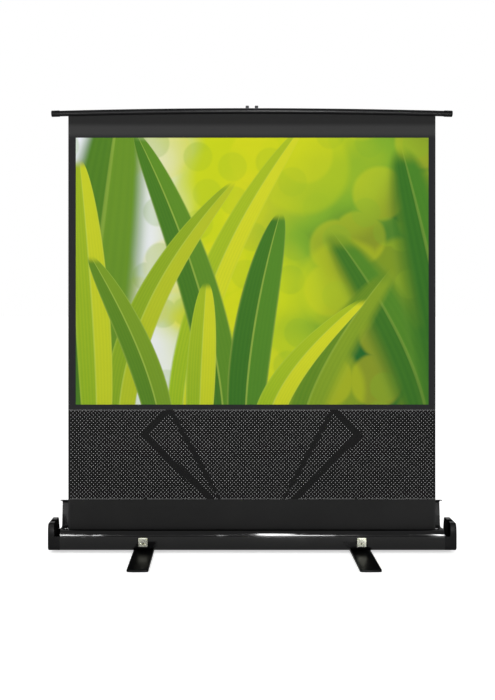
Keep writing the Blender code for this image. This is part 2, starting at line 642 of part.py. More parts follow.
def arm(name, start, angle_deg, length, layer_index, holes, finish):
    """Flat bar with round knuckles, its origin on its first pivot; holes are shares of its length."""
    spread = math.degrees(math.asin(ARM_WIDTH / 2 / KNUCKLE_RADIUS))
    radii = (KNUCKLE_RADIUS, KNUCKLE_RADIUS)
    outline = arc((0, 0), radii, spread, 360 - spread, ROUND_STEPS // 2)
    outline += arc((length, 0), radii, 180 + spread, 540 - spread, ROUND_STEPS // 2)
    front, back = layer(layer_index)
    bar = solid(name, extruded(outline, "Y", front, back), finish, (start[0], 0, start[1]),
                math.radians(angle_deg))
    bevelled(bar, ARM_EDGE)
    for along in holes:
        cut(bar, pin_hole((along, 0), front - OVERRUN, back + OVERRUN))
    return bar


def rivet(name, place, start, end, finish):
    """Pin through a pair of arms with a low head at each end."""
    head_start = start - GAP - PIN_HEAD_THICKNESS
    head_end = end + GAP + PIN_HEAD_THICKNESS
    crown = PIN_HEAD_RADIUS * HEAD_CROWN_SHARE
    profile = [(0, head_start), (crown, head_start), (PIN_HEAD_RADIUS, start - GAP),
               (PIN_RADIUS, start - GAP), (PIN_RADIUS, end + GAP), (PIN_HEAD_RADIUS, end + GAP),
               (crown, head_end), (0, head_end)]
    return solid(name, revolved(profile, "Y", PIN_STEPS), finish, (place[0], 0, place[1]))


def folding_arms(finish, steel):
    """Two crossed long arms, and short arms to the base and to the bar, with their rivets."""
    fold = math.degrees(FOLD_ANGLE)
    base = (0, BASE_PIVOT_HEIGHT)
    low_left = (-ARM_RUN, BASE_PIVOT_HEIGHT + ARM_RISE)
    low_right = (ARM_RUN, BASE_PIVOT_HEIGHT + ARM_RISE)
    middle = (0, BASE_PIVOT_HEIGHT + 2 * ARM_RISE)
    high_left = (-ARM_RUN, BASE_PIVOT_HEIGHT + 3 * ARM_RISE)
    high_right = (ARM_RUN, BASE_PIVOT_HEIGHT + 3 * ARM_RISE)
    short, long = ARM_HALF, 2 * ARM_HALF
    arm("lower_arm_left", base, 180 - fold, short, 1, (0, short), finish)
    arm("lower_arm_right", base, fold, short, 0, (0, short), finish)
    arm("cross_arm_rear", low_left, fold, long, 2, (0, STRUT_REACH, short, long), finish)
    arm("cross_arm_front", low_right, 180 - fold, long, 1, (0, STRUT_REACH, short, long), finish)
    arm("upper_arm_left", high_left, fold, short, 2, (0, short), finish)
    arm("upper_arm_right", high_right, 180 - fold, short, 1, (0, short), finish)
    pivots = (("base_rivet", base, 0, 2), ("middle_rivet", middle, 1, 2),
              ("elbow_rivet_low_left", low_left, 1, 2), ("elbow_rivet_low_right", low_right, 0, 1),
              ("elbow_rivet_high_left", high_left, 1, 2), ("elbow_rivet_high_right", high_right, 1, 2))
    for name, place, first, last in pivots:
        rivet(name, place, layer(first)[0], layer(last)[1], steel)
    plate_front = FABRIC_Y + FABRIC_THICKNESS / 2 + 3 * GAP
    seat = plate_front + PIN_HEAD_THICKNESS + 3 * GAP
    rivet("top_rivet", (0, TOP_PIVOT_HEIGHT), seat, layer(2)[1], steel)


def strut_ends(side):
    """Where a strut meets its arm and where it stands on the base bracket."""
    arm_end = (side * (ARM_HALF - STRUT_REACH) * math.cos(FOLD_ANGLE),
               BASE_PIVOT_HEIGHT + (ARM_HALF + STRUT_REACH) * math.sin(FOLD_ANGLE))
    return arm_end, (side * STRUT_ANCHOR_OFFSET, BASE_PIVOT_HEIGHT)


def gas_strut(side_name, side, arm_back, finish, steel):
    """Gas strut: cylinder with an eye on the arm's stud, and a rod that slides in it."""
    top, foot = strut_ends(side)
    reach = math.dist(top, foot)
    tilt = math.atan2(foot[1] - top[1], foot[0] - top[0])
    place = (top[0], STRUT_PLANE, top[1])
    half_eye = STRUT_EYE_THICKNESS / 2
    inner_start = STRUT_CLOSED_END + STRUT_EYE_RADIUS
    profile = [(0, STRUT_EYE_RADIUS / 2), (STRUT_NECK, STRUT_EYE_RADIUS / 2),
               (STRUT_NECK, STRUT_CLOSED_END / 2), (STRUT_RADIUS, STRUT_CLOSED_END / 2 + STRUT_CRIMP),
               (STRUT_RADIUS, STRUT_LENGTH - STRUT_CRIMP), (STRUT_RADIUS - STRUT_CRIMP, STRUT_LENGTH),
               (STRUT_BORE, STRUT_LENGTH), (STRUT_BORE, inner_start), (0, inner_start)]
    cylinder = solid(f"strut_cylinder_{side_name}", revolved(profile, "X"), finish, place, tilt)
    cut(cylinder, rod(STRUT_EYE_RADIUS, "Y", -half_eye, half_eye), "UNION")
    cut(cylinder, rod(PIN_RADIUS + GAP, "Y", -STRUT_EYE_THICKNESS, STRUT_EYE_THICKNESS, PIN_STEPS))
    rod_start = STRUT_LENGTH - ROD_OVERLAP
    neck = STRUT_LENGTH - ROD_OVERLAP / 2
    profile = [(0, rod_start), (ROD_PISTON, rod_start), (ROD_PISTON, neck - ROD_OVERLAP / 4),
               (ROD_RADIUS, neck - ROD_OVERLAP / 4), (ROD_RADIUS, reach), (0, reach)]
    piston = solid(f"strut_rod_{side_name}", revolved(profile, "X"), steel, place, tilt)
    end = rod(STRUT_EYE_RADIUS, "Y", -half_eye, half_eye)
    bmesh.ops.translate(end, verts=end.verts, vec=(reach, 0, 0))
    cut(piston, end, "UNION")
    stud_end = STRUT_PLANE + half_eye + GAP
    profile = [(0, arm_back - ARM_THICKNESS), (PIN_RADIUS, arm_back - ARM_THICKNESS),
               (PIN_RADIUS, stud_end), (PIN_HEAD_RADIUS, stud_end),
               (PIN_HEAD_RADIUS * HEAD_CROWN_SHARE, stud_end + PIN_HEAD_THICKNESS),
               (0, stud_end + PIN_HEAD_THICKNESS)]
    solid(f"strut_stud_{side_name}", revolved(profile, "Y", PIN_STEPS), steel, (top[0], 0, top[1]))
    stud = rod(ANCHOR_STUD_RADIUS, "Y", layer(2)[1] + GAP, STRUT_PLANE - half_eye - GAP)
    solid(f"anchor_stud_{side_name}", stud, steel, (foot[0], 0, foot[1]))


def base_bracket(finish):
    """Plate on a foot, screwed to the case's floor, that holds the lower arms' rivet."""
    front, back = layer(2)
    low = FLOOR_TOP + GAP
    step = low + BRACKET_FOOT_THICKNESS
    top = BASE_PIVOT_HEIGHT + BRACKET_TOP_ROOM
    middle = (front + back) / 2
    outline = [(middle - BRACKET_FOOT / 2, low), (middle + BRACKET_FOOT / 2, low),
               (middle + BRACKET_FOOT / 2, step), (back, step), (back, top), (front, top), (front, step),
               (middle - BRACKET_FOOT / 2, step)]
    bracket = solid("base_bracket", extruded(outline, "X", -BRACKET_WIDTH / 2, BRACKET_WIDTH / 2), finish)
    return cut(bracket, pin_hole((0, BASE_PIVOT_HEIGHT), front - OVERRUN, back + OVERRUN))


def foot(side_name, side, finish, rubber, steel, plastic):
    """Long foot, hollow below, on a rivet through the case's floor, with a washer and two pads."""
    place = (side * FOOT_SPACING / 2, 0, 0)
    top = BOTTOM - 2 * GAP - WASHER_THICKNESS
    low = top - FOOT_THICKNESS
    half_width, half_length = FOOT_WIDTH / 2, FOOT_LENGTH / 2
    corner = (FOOT_CORNER, FOOT_CORNER)
    across, along = half_width - FOOT_CORNER, half_length - FOOT_BULGE - FOOT_CORNER
    bulge, spread = (across, FOOT_BULGE), BULGE_HALF_DEG
    outline = arc((across, -along), corner, -90, 0) + arc((across, along), corner, 0, 90)
    outline += arc((0, half_length - FOOT_BULGE), bulge, 90 - spread, 90 + spread)
    outline += arc((-across, along), corner, 90, 180) + arc((-across, -along), corner, 180, 270)
    outline += arc((0, -half_length + FOOT_BULGE), bulge, 270 - spread, 270 + spread)
    body = solid(f"foot_{side_name}", extruded(outline, "Z", low, top), finish, place)
    bevelled(body, FOOT_EDGE)
    ceiling = low + FOOT_RECESS
    inner = half_width - FOOT_RIB
    for sign in (-1, 1):
        ends = sorted((sign * (WASHER_RADIUS + FOOT_RIB), sign * (half_length - FOOT_BULGE - FOOT_RIB)))
        recess = rounded_box_outline((-inner, ends[0]), (inner, ends[1]), FOOT_RIB)
        cut(body, extruded(recess, "Z", low - OVERRUN, ceiling))
    seat = low + RIVET_HEAD_THICKNESS + 2 * GAP
    cut(body, rod(RIVET_HEAD_RADIUS + 2 * GAP, "Z", low - OVERRUN, seat))
    cut(body, rod(RIVET_RADIUS + GAP, "Z", low, top + OVERRUN))
    ring = [(RIVET_RADIUS + GAP, top + GAP), (WASHER_RADIUS, top + GAP),
            (WASHER_RADIUS, BOTTOM - GAP), (RIVET_RADIUS + GAP, BOTTOM - GAP)]
    solid(f"foot_washer_{side_name}", revolved(ring, "Z"), plastic, place)
    upper = FLOOR_TOP + GAP
    profile = [(0, seat - GAP - RIVET_HEAD_THICKNESS), (RIVET_HEAD_RADIUS, seat - GAP - RIVET_HEAD_THICKNESS),
               (RIVET_HEAD_RADIUS, seat - GAP), (RIVET_RADIUS, seat - GAP), (RIVET_RADIUS, upper),
               (RIVET_HEAD_RADIUS, upper),
               (RIVET_HEAD_RADIUS * HEAD_CROWN_SHARE, upper + RIVET_HEAD_THICKNESS),
               (0, upper + RIVET_HEAD_THICKNESS)]
    solid(f"foot_rivet_{side_name}", revolved(profile, "Z"), steel, place)
    for end_name, sign in (("front", -1), ("rear", 1)):
        middle = sign * (half_length - FOOT_BULGE - FOOT_RIB - PAD_INSET - PAD_LENGTH / 2)
        pad = rounded_box_outline((-PAD_WIDTH / 2, middle - PAD_LENGTH / 2),
                                  (PAD_WIDTH / 2, middle + PAD_LENGTH / 2), FOOT_CORNER / 2)
        solid(f"foot_pad_{end_name}_{side_name}", extruded(pad, "Z", 0, ceiling - GAP), rubber, place)


def main():
    for item in list(bpy.data.objects):
        bpy.data.objects.remove(item, do_unlink=True)
    black_metal = material("gloss_black_metal", (0.012, 0.012, 0.013), 0.18, 0.3)
    black_plastic = material("black_plastic", (0.016, 0.016, 0.017), 0.35)
    arm_metal = material("satin_black_metal", (0.02, 0.02, 0.021), 0.4, 0.4)
    steel = material("zinc_steel", (0.62, 0.62, 0.6), 0.3, 1.0)
    chrome = material("chrome", (0.85, 0.85, 0.83), 0.12, 1.0)
    tube = material("bare_aluminium", (0.7, 0.7, 0.71), 0.4, 1.0)
    rubber = material("rubber", (0.02, 0.02, 0.02), 0.8)
    picture = material("picture_fabric", (0.35, 0.5, 0.08), 0.7)
    mesh_cloth = material("mesh_fabric", (0.03, 0.03, 0.03), 0.8)
    band_cloth = material("band_fabric", (0.035, 0.035, 0.035), 0.8)

    case_body(black_metal)
    lid(black_metal)
    roller(tube, steel, band_cloth)
    base_bracket(steel)
    folding_arms(arm_metal, steel)
    for side, side_name in ((-1, "left"), (1, "right")):
        end_cap(f"end_cap_{side_name}", side, black_plastic)
        bearing_plate(f"bearing_plate_{side_name}", side, steel)
        latch(side_name, side, chrome)
        lid_keeper(f"lid_keeper_{side_name}", side, chrome)
        foot(side_name, side, black_metal, rubber, steel, black_plastic)
    gas_strut("left", -1, layer(2)[1], arm_metal, steel)
    gas_strut("right", 1, layer(1)[1], arm_metal, steel)

    drop_top = PICTURE_BOTTOM - LOWER_BORDER
    band_top = ROLLER_HEIGHT + BAND_HEIGHT
    cloth("picture_sheet", drop_top + GAP, BAR_HEIGHT - BAR_RADIUS + BAR_WALL, picture, True)
    cloth("mesh_drop", band_top + GAP, drop_top, mesh_cloth)
    cloth("lower_band", ROLLER_HEIGHT, band_top, band_cloth)
    top_bar(black_metal, black_plastic, steel)
    bar_hanger(steel)


main()
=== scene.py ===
# Looks of the floor-standing projector screen: fine shapes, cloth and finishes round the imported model.
import json
import math

import bpy
import numpy as np
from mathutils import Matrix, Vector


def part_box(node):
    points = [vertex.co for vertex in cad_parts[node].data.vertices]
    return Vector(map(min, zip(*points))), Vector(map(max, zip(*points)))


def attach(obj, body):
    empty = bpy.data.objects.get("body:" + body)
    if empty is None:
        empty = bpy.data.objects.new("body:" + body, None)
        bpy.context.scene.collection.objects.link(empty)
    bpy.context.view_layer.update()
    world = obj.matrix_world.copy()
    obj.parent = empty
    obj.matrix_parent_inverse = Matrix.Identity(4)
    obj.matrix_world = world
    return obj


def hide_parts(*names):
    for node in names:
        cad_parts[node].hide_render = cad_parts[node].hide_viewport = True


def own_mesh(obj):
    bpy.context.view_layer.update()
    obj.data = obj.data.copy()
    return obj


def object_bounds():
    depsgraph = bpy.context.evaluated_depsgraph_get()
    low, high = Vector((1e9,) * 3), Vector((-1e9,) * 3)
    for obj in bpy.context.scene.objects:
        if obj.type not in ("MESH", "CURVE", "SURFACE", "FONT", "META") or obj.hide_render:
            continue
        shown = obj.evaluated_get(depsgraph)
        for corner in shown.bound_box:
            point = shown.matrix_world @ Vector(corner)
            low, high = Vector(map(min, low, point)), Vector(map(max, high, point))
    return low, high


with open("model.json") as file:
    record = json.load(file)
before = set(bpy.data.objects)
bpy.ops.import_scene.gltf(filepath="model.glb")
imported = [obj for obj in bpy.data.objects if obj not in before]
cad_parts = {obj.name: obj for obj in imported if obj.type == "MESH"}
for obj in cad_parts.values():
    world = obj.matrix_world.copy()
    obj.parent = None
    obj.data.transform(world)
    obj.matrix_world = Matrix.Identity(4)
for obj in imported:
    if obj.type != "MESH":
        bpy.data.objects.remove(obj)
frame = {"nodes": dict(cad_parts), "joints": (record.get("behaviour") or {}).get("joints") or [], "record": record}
nodes = frame["nodes"]
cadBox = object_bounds()
mm = 0.001
print("frame loaded,", len(nodes), "nodes")


def corners(name):
    low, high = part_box(name)
    return np.array(low), np.array(high)


def jointPlace(name):
    return np.array(next(joint["pos_m"] for joint in frame["joints"] if joint["name"] == name))


# Camera, lamps, floor and background
viewpoint = dict(aside=-0.093, distance=3.052, height=0.870, focal=64.1, sensor=36.0,
                 shiftX=0.0455, shiftY=-0.103)
studio = dict(world=0.50, floorTone=0.90, floorSize=40.0, floorGlow=0.60)
lampAim = np.array((0.0, 0.0, 0.7))  # the middle of the screen
lamps = dict(
    key=dict(place=(-2.2, -3.2, 2.9), size=1.6, power=66),
    fill=dict(place=(2.6, -2.6, 2.0), size=1.8, power=24),
    rear=dict(place=(0.6, 3.2, 2.8), size=1.8, power=30),
)
glintDistance = 2.9
glints = dict(
    # narrow lamps in front that only show as highlights on the case's shoulder:
    # across, width, bottom, top, power
    left=(-1.157, 0.042, 0.10, 1.10, 26),
    leftTail=(-1.086, 0.100, 0.10, 0.45, 12),
    nearLeft=(-0.935, 0.034, 0.10, 0.60, 9),
    middle=(-0.122, 0.027, 0.10, 0.60, 3),
    wide=(0.242, 0.220, 0.10, 1.90, 150),
    wideTail=(0.484, 0.260, 0.10, 0.45, 30),
    right=(1.323, 0.054, 0.20, 1.10, 30),
)


def buildCamera():
    data = bpy.data.cameras.new("camera")
    data.sensor_fit = "HORIZONTAL"
    data.sensor_width = viewpoint["sensor"]
    data.lens = viewpoint["focal"]
    data.shift_x = viewpoint["shiftX"]
    data.shift_y = viewpoint["shiftY"]
    camera = bpy.data.objects.new("camera", data)
    camera.location = (viewpoint["aside"], -viewpoint["distance"], viewpoint["height"])
    camera.rotation_euler = (math.radians(90), 0, 0)
    bpy.context.scene.collection.objects.link(camera)
    bpy.context.scene.camera = camera


def addLamp(name, shape, size, power, place, turn):
    data = bpy.data.lights.new(name, "AREA")
    data.shape = shape
    data.size, data.size_y = size
    data.energy = power
    lamp = bpy.data.objects.new(name, data)
    lamp.location = place
    lamp.rotation_euler = turn
    bpy.context.scene.collection.objects.link(lamp)
    return lamp


def buildLamps():
    for name, spec in lamps.items():
        away = np.array(spec["place"]) - lampAim
        turn = (math.acos(away[2] / np.linalg.norm(away)), 0, math.atan2(away[1], away[0]) + math.pi / 2)
        addLamp(name, "DISK", (spec["size"], spec["size"]), spec["power"], spec["place"], turn)
    for name, (across, width, bottom, top, power) in glints.items():
        place = (across, -glintDistance, (top + bottom) / 2)
        turn = (math.radians(90), 0, math.atan2(across, glintDistance))
        lamp = addLamp("glint " + name, "RECTANGLE", (width, top - bottom), power, place, turn)
        lamp.visible_diffuse = False


class Wire:
    # One socket of a material's nodes; sums on it add Math nodes
    def __init__(self, tree, socket=None):
        self.tree = tree
        self.socket = socket

    def node(self, kind, settings=None, inputs=None, output=0):
        made = self.tree.nodes.new("ShaderNode" + kind)
        for key, value in (settings or {}).items():
            setattr(made, key, value)
        for key, value in (inputs or {}).items():
            if isinstance(value, Wire):
                self.tree.links.new(value.socket, made.inputs[key])
            else:
                made.inputs[key].default_value = value
        return Wire(self.tree, made.outputs[output])

    def maths(self, operation, *values):
        return self.node("Math", dict(operation=operation), dict(enumerate(values)))

    def __add__(self, other):
        return self.maths("ADD", self, other)

    def __sub__(self, other):
        return self.maths("SUBTRACT", self, other)

    def __rsub__(self, other):
        return self.maths("SUBTRACT", other, self)

    def __mul__(self, other):
        return self.maths("MULTIPLY", self, other)

    def __truediv__(self, other):
        return self.maths("DIVIDE", self, other)

    def __pow__(self, other):
        return self.maths("POWER", self, other)

    def size(self):
        return self.maths("ABSOLUTE", self)

    def sine(self):
        return self.maths("SINE", self)

    def held(self):
        return self.node("Clamp", None, {0: self})

    def fade(self, start, end):
        # 0 at start and 1 at end, with soft turns
        return self.node("MapRange", dict(interpolation_type="SMOOTHSTEP"),
                         {"Value": self, "From Min": start, "From Max": end, "To Min": 0.0, "To Max": 1.0})

    def mix(self, first, second):
        # This socket is the share of the second colour
        def colour(value):
            return value if isinstance(value, Wire) else (*value, 1)
        return self.node("Mix", dict(data_type="RGBA"),
                         {0: self, 6: colour(first), 7: colour(second)}, output=2)


class Finish:
    # A Principled material with its nodes at hand
    def __init__(self, name, **fixed):
        self.material = bpy.data.materials.new(name)
        self.material.use_nodes = True
        self.tree = self.material.node_tree
        self.shader = self.tree.nodes["Principled BSDF"]
        self.wire = Wire(self.tree)
        for key, value in fixed.items():
            self.set(key, value)

    def set(self, key, value):
        socket = self.shader.inputs[key]
        if isinstance(value, Wire):
            self.tree.links.new(value.socket, socket)
        else:
            socket.default_value = (*value, 1) if isinstance(value, tuple) else value

    def place(self, scale=(1, 1, 1)):
        # Object coordinates stretched by a scale
        source = self.wire.node("TexCoord", output=3)
        return self.wire.node("Mapping", None, {"Vector": source, "Scale": scale})

    def axes(self, vector):
        return [self.wire.node("SeparateXYZ", None, {0: vector}, output=i) for i in range(3)]

    def noise(self, scale, detail, stretch=(1, 1, 1), rough=0.5):
        return self.wire.node("TexNoise", None, {"Vector": self.place(stretch), "Scale": scale,
                                                 "Detail": detail, "Roughness": rough})

    def bump(self, height, distance, strength):
        self.set("Normal", self.wire.node("Bump", None, {"Height": height, "Distance": distance,
                                                         "Strength": strength}))


peelDepth = 0.02 * mm
alongCase = (0.02, 1, 1)


def paintFinish(name, colour, rough, gloss, grain=(1, 1, 1)):
    # Paint or anodising: faint handling marks in its gloss, and a fine peel in its surface
    paint = Finish(name)
    marks = paint.noise(9.0, 5.0, rough=0.65).fade(0.42, 0.72)
    peel = paint.noise(420.0, 2.0, grain)
    dust = paint.noise(60.0, 6.0, rough=0.7).fade(0.60, 0.85) * 0.25
    paint.set("Base Color", dust.mix(colour, tuple(min(channel * 2.2 + 0.006, 1) for channel in colour)))
    paint.set("Roughness", marks * 0.10 + rough)
    paint.set("Specular IOR Level", gloss)
    paint.bump(peel, peelDepth, 0.35)
    return paint.material


def metalFinish(name, colour, rough, stretch, lineScale):
    # Bare or plated metal with drawn lines, a little dulling in patches
    metal = Finish(name, Metallic=1.0)
    lines = metal.noise(lineScale, 4.0, stretch)
    dulling = metal.noise(35.0, 4.0).fade(0.40, 0.75)
    metal.set("Base Color", dulling.mix(colour, tuple(channel * 0.82 for channel in colour)))
    metal.set("Roughness", lines * 0.12 + dulling * 0.10 + rough)
    metal.bump(lines, peelDepth, 0.4)
    return metal.material


# Radii of the painted shade spot and of its faded edge, and how far it lies below the plate's middle
latchShape = dict(dimple=2.0 * mm, edge=4.5 * mm, low=4 * mm)


def latchFinish():
    # Bright plate with drawn lines, and a painted dark spot of shade low on each latch's face
    metal = Finish("bright plate", Metallic=1.0)
    low, high = corners("latch_plate_right")
    middle = (low + high) / 2
    x, _, z = metal.axes(metal.place())
    across, upward = x.size() - float(middle[0]), z - float(middle[2] - latchShape["low"])
    # Painted shade: the colour darkens in a round spot low on the plate
    dimple = 1 - ((across ** 2 + upward ** 2) ** 0.5).fade(latchShape["dimple"], latchShape["edge"])
    dulling = metal.noise(60.0, 3.0).fade(0.40, 0.75)
    plate = dulling.mix((0.93, 0.94, 0.80), (0.78, 0.79, 0.63))
    metal.set("Base Color", (dimple * 0.85).mix(plate, (0.20, 0.20, 0.13)))
    metal.set("Roughness", dulling * 0.04 + 0.13)
    metal.bump(metal.noise(60.0, 3.0, (0.1, 1, 1)), peelDepth, 0.02)
    return metal.material


def rubberFinish():
    rubber = Finish("rubber", **{"Specular IOR Level": 0.25})
    grains = rubber.noise(900.0, 3.0)
    rubber.set("Base Color", grains.mix((0.012, 0.012, 0.012), (0.028, 0.028, 0.027)))
    rubber.set("Roughness", grains * 0.15 + 0.72)
    rubber.bump(grains, 0.05 * mm, 0.6)
    return rubber.material


weave = dict(thread=0.9 * mm, depth=0.12 * mm, selvedge=7 * mm)


def weaveHeight(cloth):
    # Over-and-under of a plain weave: the product of a wave across and a wave up
    x, _, z = cloth.axes(cloth.place())
    turn = math.tau / weave["thread"]
    across, upward = (x * turn).sine(), (z * turn).sine()
    return across * upward * 0.5 + 0.5


def clothFinish(name, colour, lighter):
    # Woven black cloth with a slightly lighter strip along both its sides, and painted shade in its weave: thread
    # crowns lighter, hollows darker
    cloth = Finish(name, **{"Specular IOR Level": 0.05})
    height = weaveHeight(cloth)
    patches = cloth.noise(3.0, 3.0).fade(0.35, 0.7)
    side = corners("lower_band")[1][0]
    inner = side - weave["selvedge"]
    selvedge = cloth.axes(cloth.place())[0].size().fade(inner, inner + mm)
    # The weave's height paints shade into the colour (lighter crowns, darker hollows); patches are random tone
    cloth.set("Base Color", (height * 0.35 + patches * 0.4 + selvedge * 0.8).mix(colour, lighter))
    cloth.set("Roughness", height * -0.10 + 0.85)
    cloth.bump(height, weave["depth"], 0.5)
    return cloth.material


# The picture on its cloth, from the cloth's lower left corner, and the heights where the black band
# above it changes its tone, each over a shadeEdge: lighter from topBand, and from topShade darker with
# painted shade under the bar; borderEdge is a share of the picture
pictureShape = dict(width=1.219, height=0.922, left=26 * mm, bottom=19 * mm, topBand=0.958, topShade=0.995,
                    shadeEdge=20 * mm, borderEdge=0.0004)
# The band's darkest tone, last in the list, is painted shade under the bar
palette = dict(pale=(0.80, 0.82, 0.88), lime=(0.56, 0.64, 0.010), yellow=(0.74, 0.68, 0.015),
               green=(0.22, 0.42, 0.025), deep=(0.018, 0.135, 0.022), rib=(0.50, 0.62, 0.10),
               border=(0.022, 0.022, 0.023), bandLow=(0.042, 0.042, 0.042), bandHigh=(0.021, 0.021, 0.021))
blades = (
    # foot across, foot up, tip across, tip up, width, bend, tone (0 dark, 1 bright), softness
    (1.00, -0.10, 0.72, 0.66, 0.170, 1.6, 0.06, 0.60),
    (1.08, -0.10, 0.92, 0.98, 0.180, 1.4, 0.03, 0.60),
    (0.64, -0.10, 0.90, 0.52, 0.120, 1.5, 0.30, 0.50),
    (0.02, -0.10, 0.13, 1.20, 0.230, 1.3, 0.14, 0.40),
    (0.30, -0.10, 0.64, 1.04, 0.085, 1.9, 0.95, 0.12),
    (0.42, -0.10, 0.17, 1.02, 0.100, 1.7, 0.10, 0.08),
    (0.12, -0.10, 0.45, 0.84, 0.085, 2.0, 0.66, 0.06),
    (0.48, -0.10, 0.58, 0.72, 0.100, 1.8, 0.06, 0.06),
    (0.06, -0.10, 0.01, 0.92, 0.085, 1.6, 0.80, 0.07),
    (0.24, -0.10, 0.04, 0.56, 0.080, 1.5, 0.22, 0.05),
    (0.54, -0.10, 0.82, 0.40, 0.080, 1.7, 0.95, 0.06),
    (0.35, -0.10, 0.37, 0.46, 0.070, 1.5, 0.85, 0.06),
)


def softDiscs(picture, u, v, scale, shift, radius):
    # Out-of-focus spots: one round disc in each cell of a Voronoi pattern
    place = picture.wire.node("CombineXYZ", None,
                              {0: u * scale + shift, 1: v * scale * 0.75 + shift, 2: shift})
    spots = picture.wire.node("TexVoronoi", dict(feature="F1", voronoi_dimensions="2D"),
                              {"Vector": place, "Scale": 1.0, "Randomness": 0.8})
    return 1 - spots.fade(radius * 0.82, radius)


def backdrop(picture, u, v):
    # Pale sky on the left, sunlit lime in the middle and deeper greens to the right, with soft discs
    haze = picture.wire.node("TexNoise", dict(noise_dimensions="2D"),
                             {"Vector": picture.wire.node("CombineXYZ", None, {0: u, 1: v}), "Scale": 2.6,
                              "Detail": 1.5})
    colour = (u * 1.6 + v * 0.2 + haze * 0.5).fade(0.55, 0.95).mix(palette["pale"], palette["lime"])
    colour = (haze + u * 0.2).fade(0.62, 0.80).mix(colour, palette["yellow"])
    colour = (u + haze * 0.6 - v * 0.1).fade(0.72, 1.02).mix(colour, palette["green"])
    colour = (u - v * 0.30 + haze * 0.55).fade(0.80, 1.00).mix(colour, palette["deep"])
    for scale, shift, radius, tone, share in ((5.0, 3.1, 0.42, palette["yellow"], 0.30),
                                              (8.0, 7.7, 0.36, palette["green"], 0.30),
                                              (3.2, 1.3, 0.46, palette["lime"], 0.35)):
        colour = (softDiscs(picture, u, v, scale, shift, radius) * share).mix(colour, tone)
    return colour


def pictureFinish():
    # A projected scene of curved grass blades before soft lights, inside plain black borders
    picture = Finish("screen picture", **{"Specular IOR Level": 0.03})
    low, high = corners("picture_sheet")
    span = high - low
    across, upward, _ = picture.axes(picture.wire.node("TexCoord", output=2))
    x, z = across * float(span[0]), upward * float(span[2])
    u = (x - pictureShape["left"]) / pictureShape["width"]
    v = (z - pictureShape["bottom"]) / pictureShape["height"]
    colour = backdrop(picture, u, v)
    for footU, footV, tipU, tipV, width, bend, tone, softness in blades:
        t = ((v - footV) / (tipV - footV)).held()
        middle = (t ** bend) * (tipU - footU) + footU
        swell = ((1 - t) * (t * 0.9 + 0.22)) ** 0.5
        offset = (u - middle) / (swell * width + 0.0005)
        body = 1 - offset.size().fade(1 - softness, 1.0 + softness * 0.3)
        tip = 1 - v.fade(tipV - 0.03 - softness * 0.1, tipV)
        veins = (offset * 34.0).sine() * 0.10 + 0.5
        half = offset.fade(-0.08, 0.08)
        dark = (0.012 + 0.16 * tone, 0.105 + 0.28 * tone, 0.014)
        light = (0.050 + 0.60 * tone, 0.21 + 0.46 * tone, 0.020)
        leaf = (half * 0.55 + veins * 0.5 + t * 0.25).mix(dark, light)
        rib = (1 - offset.size().fade(0.02, 0.07)) * (0.45 * (1 - softness))
        rim = offset.size().fade(0.86, 0.98) * (0.35 * (1 - softness))
        leaf = (rib + rim).mix(leaf, palette["rib"])
        colour = (body * tip).mix(colour, leaf)
    edge = pictureShape["borderEdge"]
    inside = [1 - (along - 0.5).size().fade(0.5 - edge, 0.5 + edge) for along in (u, v)]
    outside = 1 - inside[0] * inside[1]
    border = palette["border"]
    # The second tone, from topShade up, is painted shade where the cloth runs under the bar
    for shade, colourAbove in (("topBand", "bandLow"), ("topShade", "bandHigh")):
        level = pictureShape[shade]
        border = z.fade(level - pictureShape["shadeEdge"], level).mix(border, palette[colourAbove])
    picture.set("Base Color", outside.mix(colour, border))
    picture.set("Roughness", outside * 0.10 + 0.75)
    picture.bump(weaveHeight(picture), weave["depth"], 0.3)
    return picture.material


finishes = dict(
    case=paintFinish("gloss black case", (0.0022, 0.0022, 0.0024), 0.06, 0.16, alongCase),
    lid=paintFinish("satin black lid", (0.0028, 0.0028, 0.0030), 0.34, 0.10, alongCase),
    bar=paintFinish("black bar paint", (0.006, 0.006, 0.0065), 0.30, 0.07, alongCase),
    feet=paintFinish("black foot paint", (0.0018, 0.0018, 0.0020), 0.30, 0.03),
    plastic=paintFinish("black moulding", (0.0024, 0.0024, 0.0026), 0.33, 0.06),
    arms=paintFinish("satin black arms", (0.014, 0.014, 0.015), 0.42, 0.35),
    steel=metalFinish("zinc plated steel", (0.56, 0.56, 0.54), 0.26, (1, 1, 1), 240.0),
    chrome=latchFinish(),
    darkSteel=metalFinish("blackened steel", (0.016, 0.016, 0.017), 0.45, (1, 1, 1), 240.0),
    tube=metalFinish("drawn aluminium", (0.66, 0.66, 0.67), 0.30, alongCase, 320.0),
    rubber=rubberFinish(),
    band=clothFinish("plain black cloth", (0.010, 0.010, 0.010), (0.019, 0.019, 0.019)),
    mesh=clothFinish("perforated black cloth", (0.004, 0.004, 0.004), (0.008, 0.008, 0.008)),
    backing=clothFinish("black backing", (0.012, 0.012, 0.012), (0.020, 0.020, 0.020)),
    picture=pictureFinish(),
)
# The finish that an imported node takes for its slot, and the nodes that take one of their own
slotFinish = dict(gloss_black_metal="case", black_plastic="plastic", arm_black="arms", steel="steel",
                  chrome="chrome", aluminium="tube", rubber="rubber", picture_cloth="band",
                  mesh_cloth="band", plain_cloth="band")
nodeSlot = {part["node"]: part["material_slot"] for part in frame["record"]["subparts"]}
nodeFinish = dict(bar_hanger="darkSteel")


def dressNodes():
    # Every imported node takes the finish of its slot, or one of its own
    for node, slot in nodeSlot.items():
        mesh = nodes[node].data
        mesh.materials.clear()
        mesh.materials.append(finishes[nodeFinish.get(node, slotFinish[slot])])


def seenBackground(wire):
    # 1 for what the camera sees straight, in a mirror or through glass, 0 for the light on the object
    rays = [wire.node("LightPath", output=name) for name in
            ("Is Camera Ray", "Is Glossy Ray", "Is Transmission Ray")]
    return wire.maths("MAXIMUM", rays[0], wire.maths("MAXIMUM", rays[1], rays[2]))


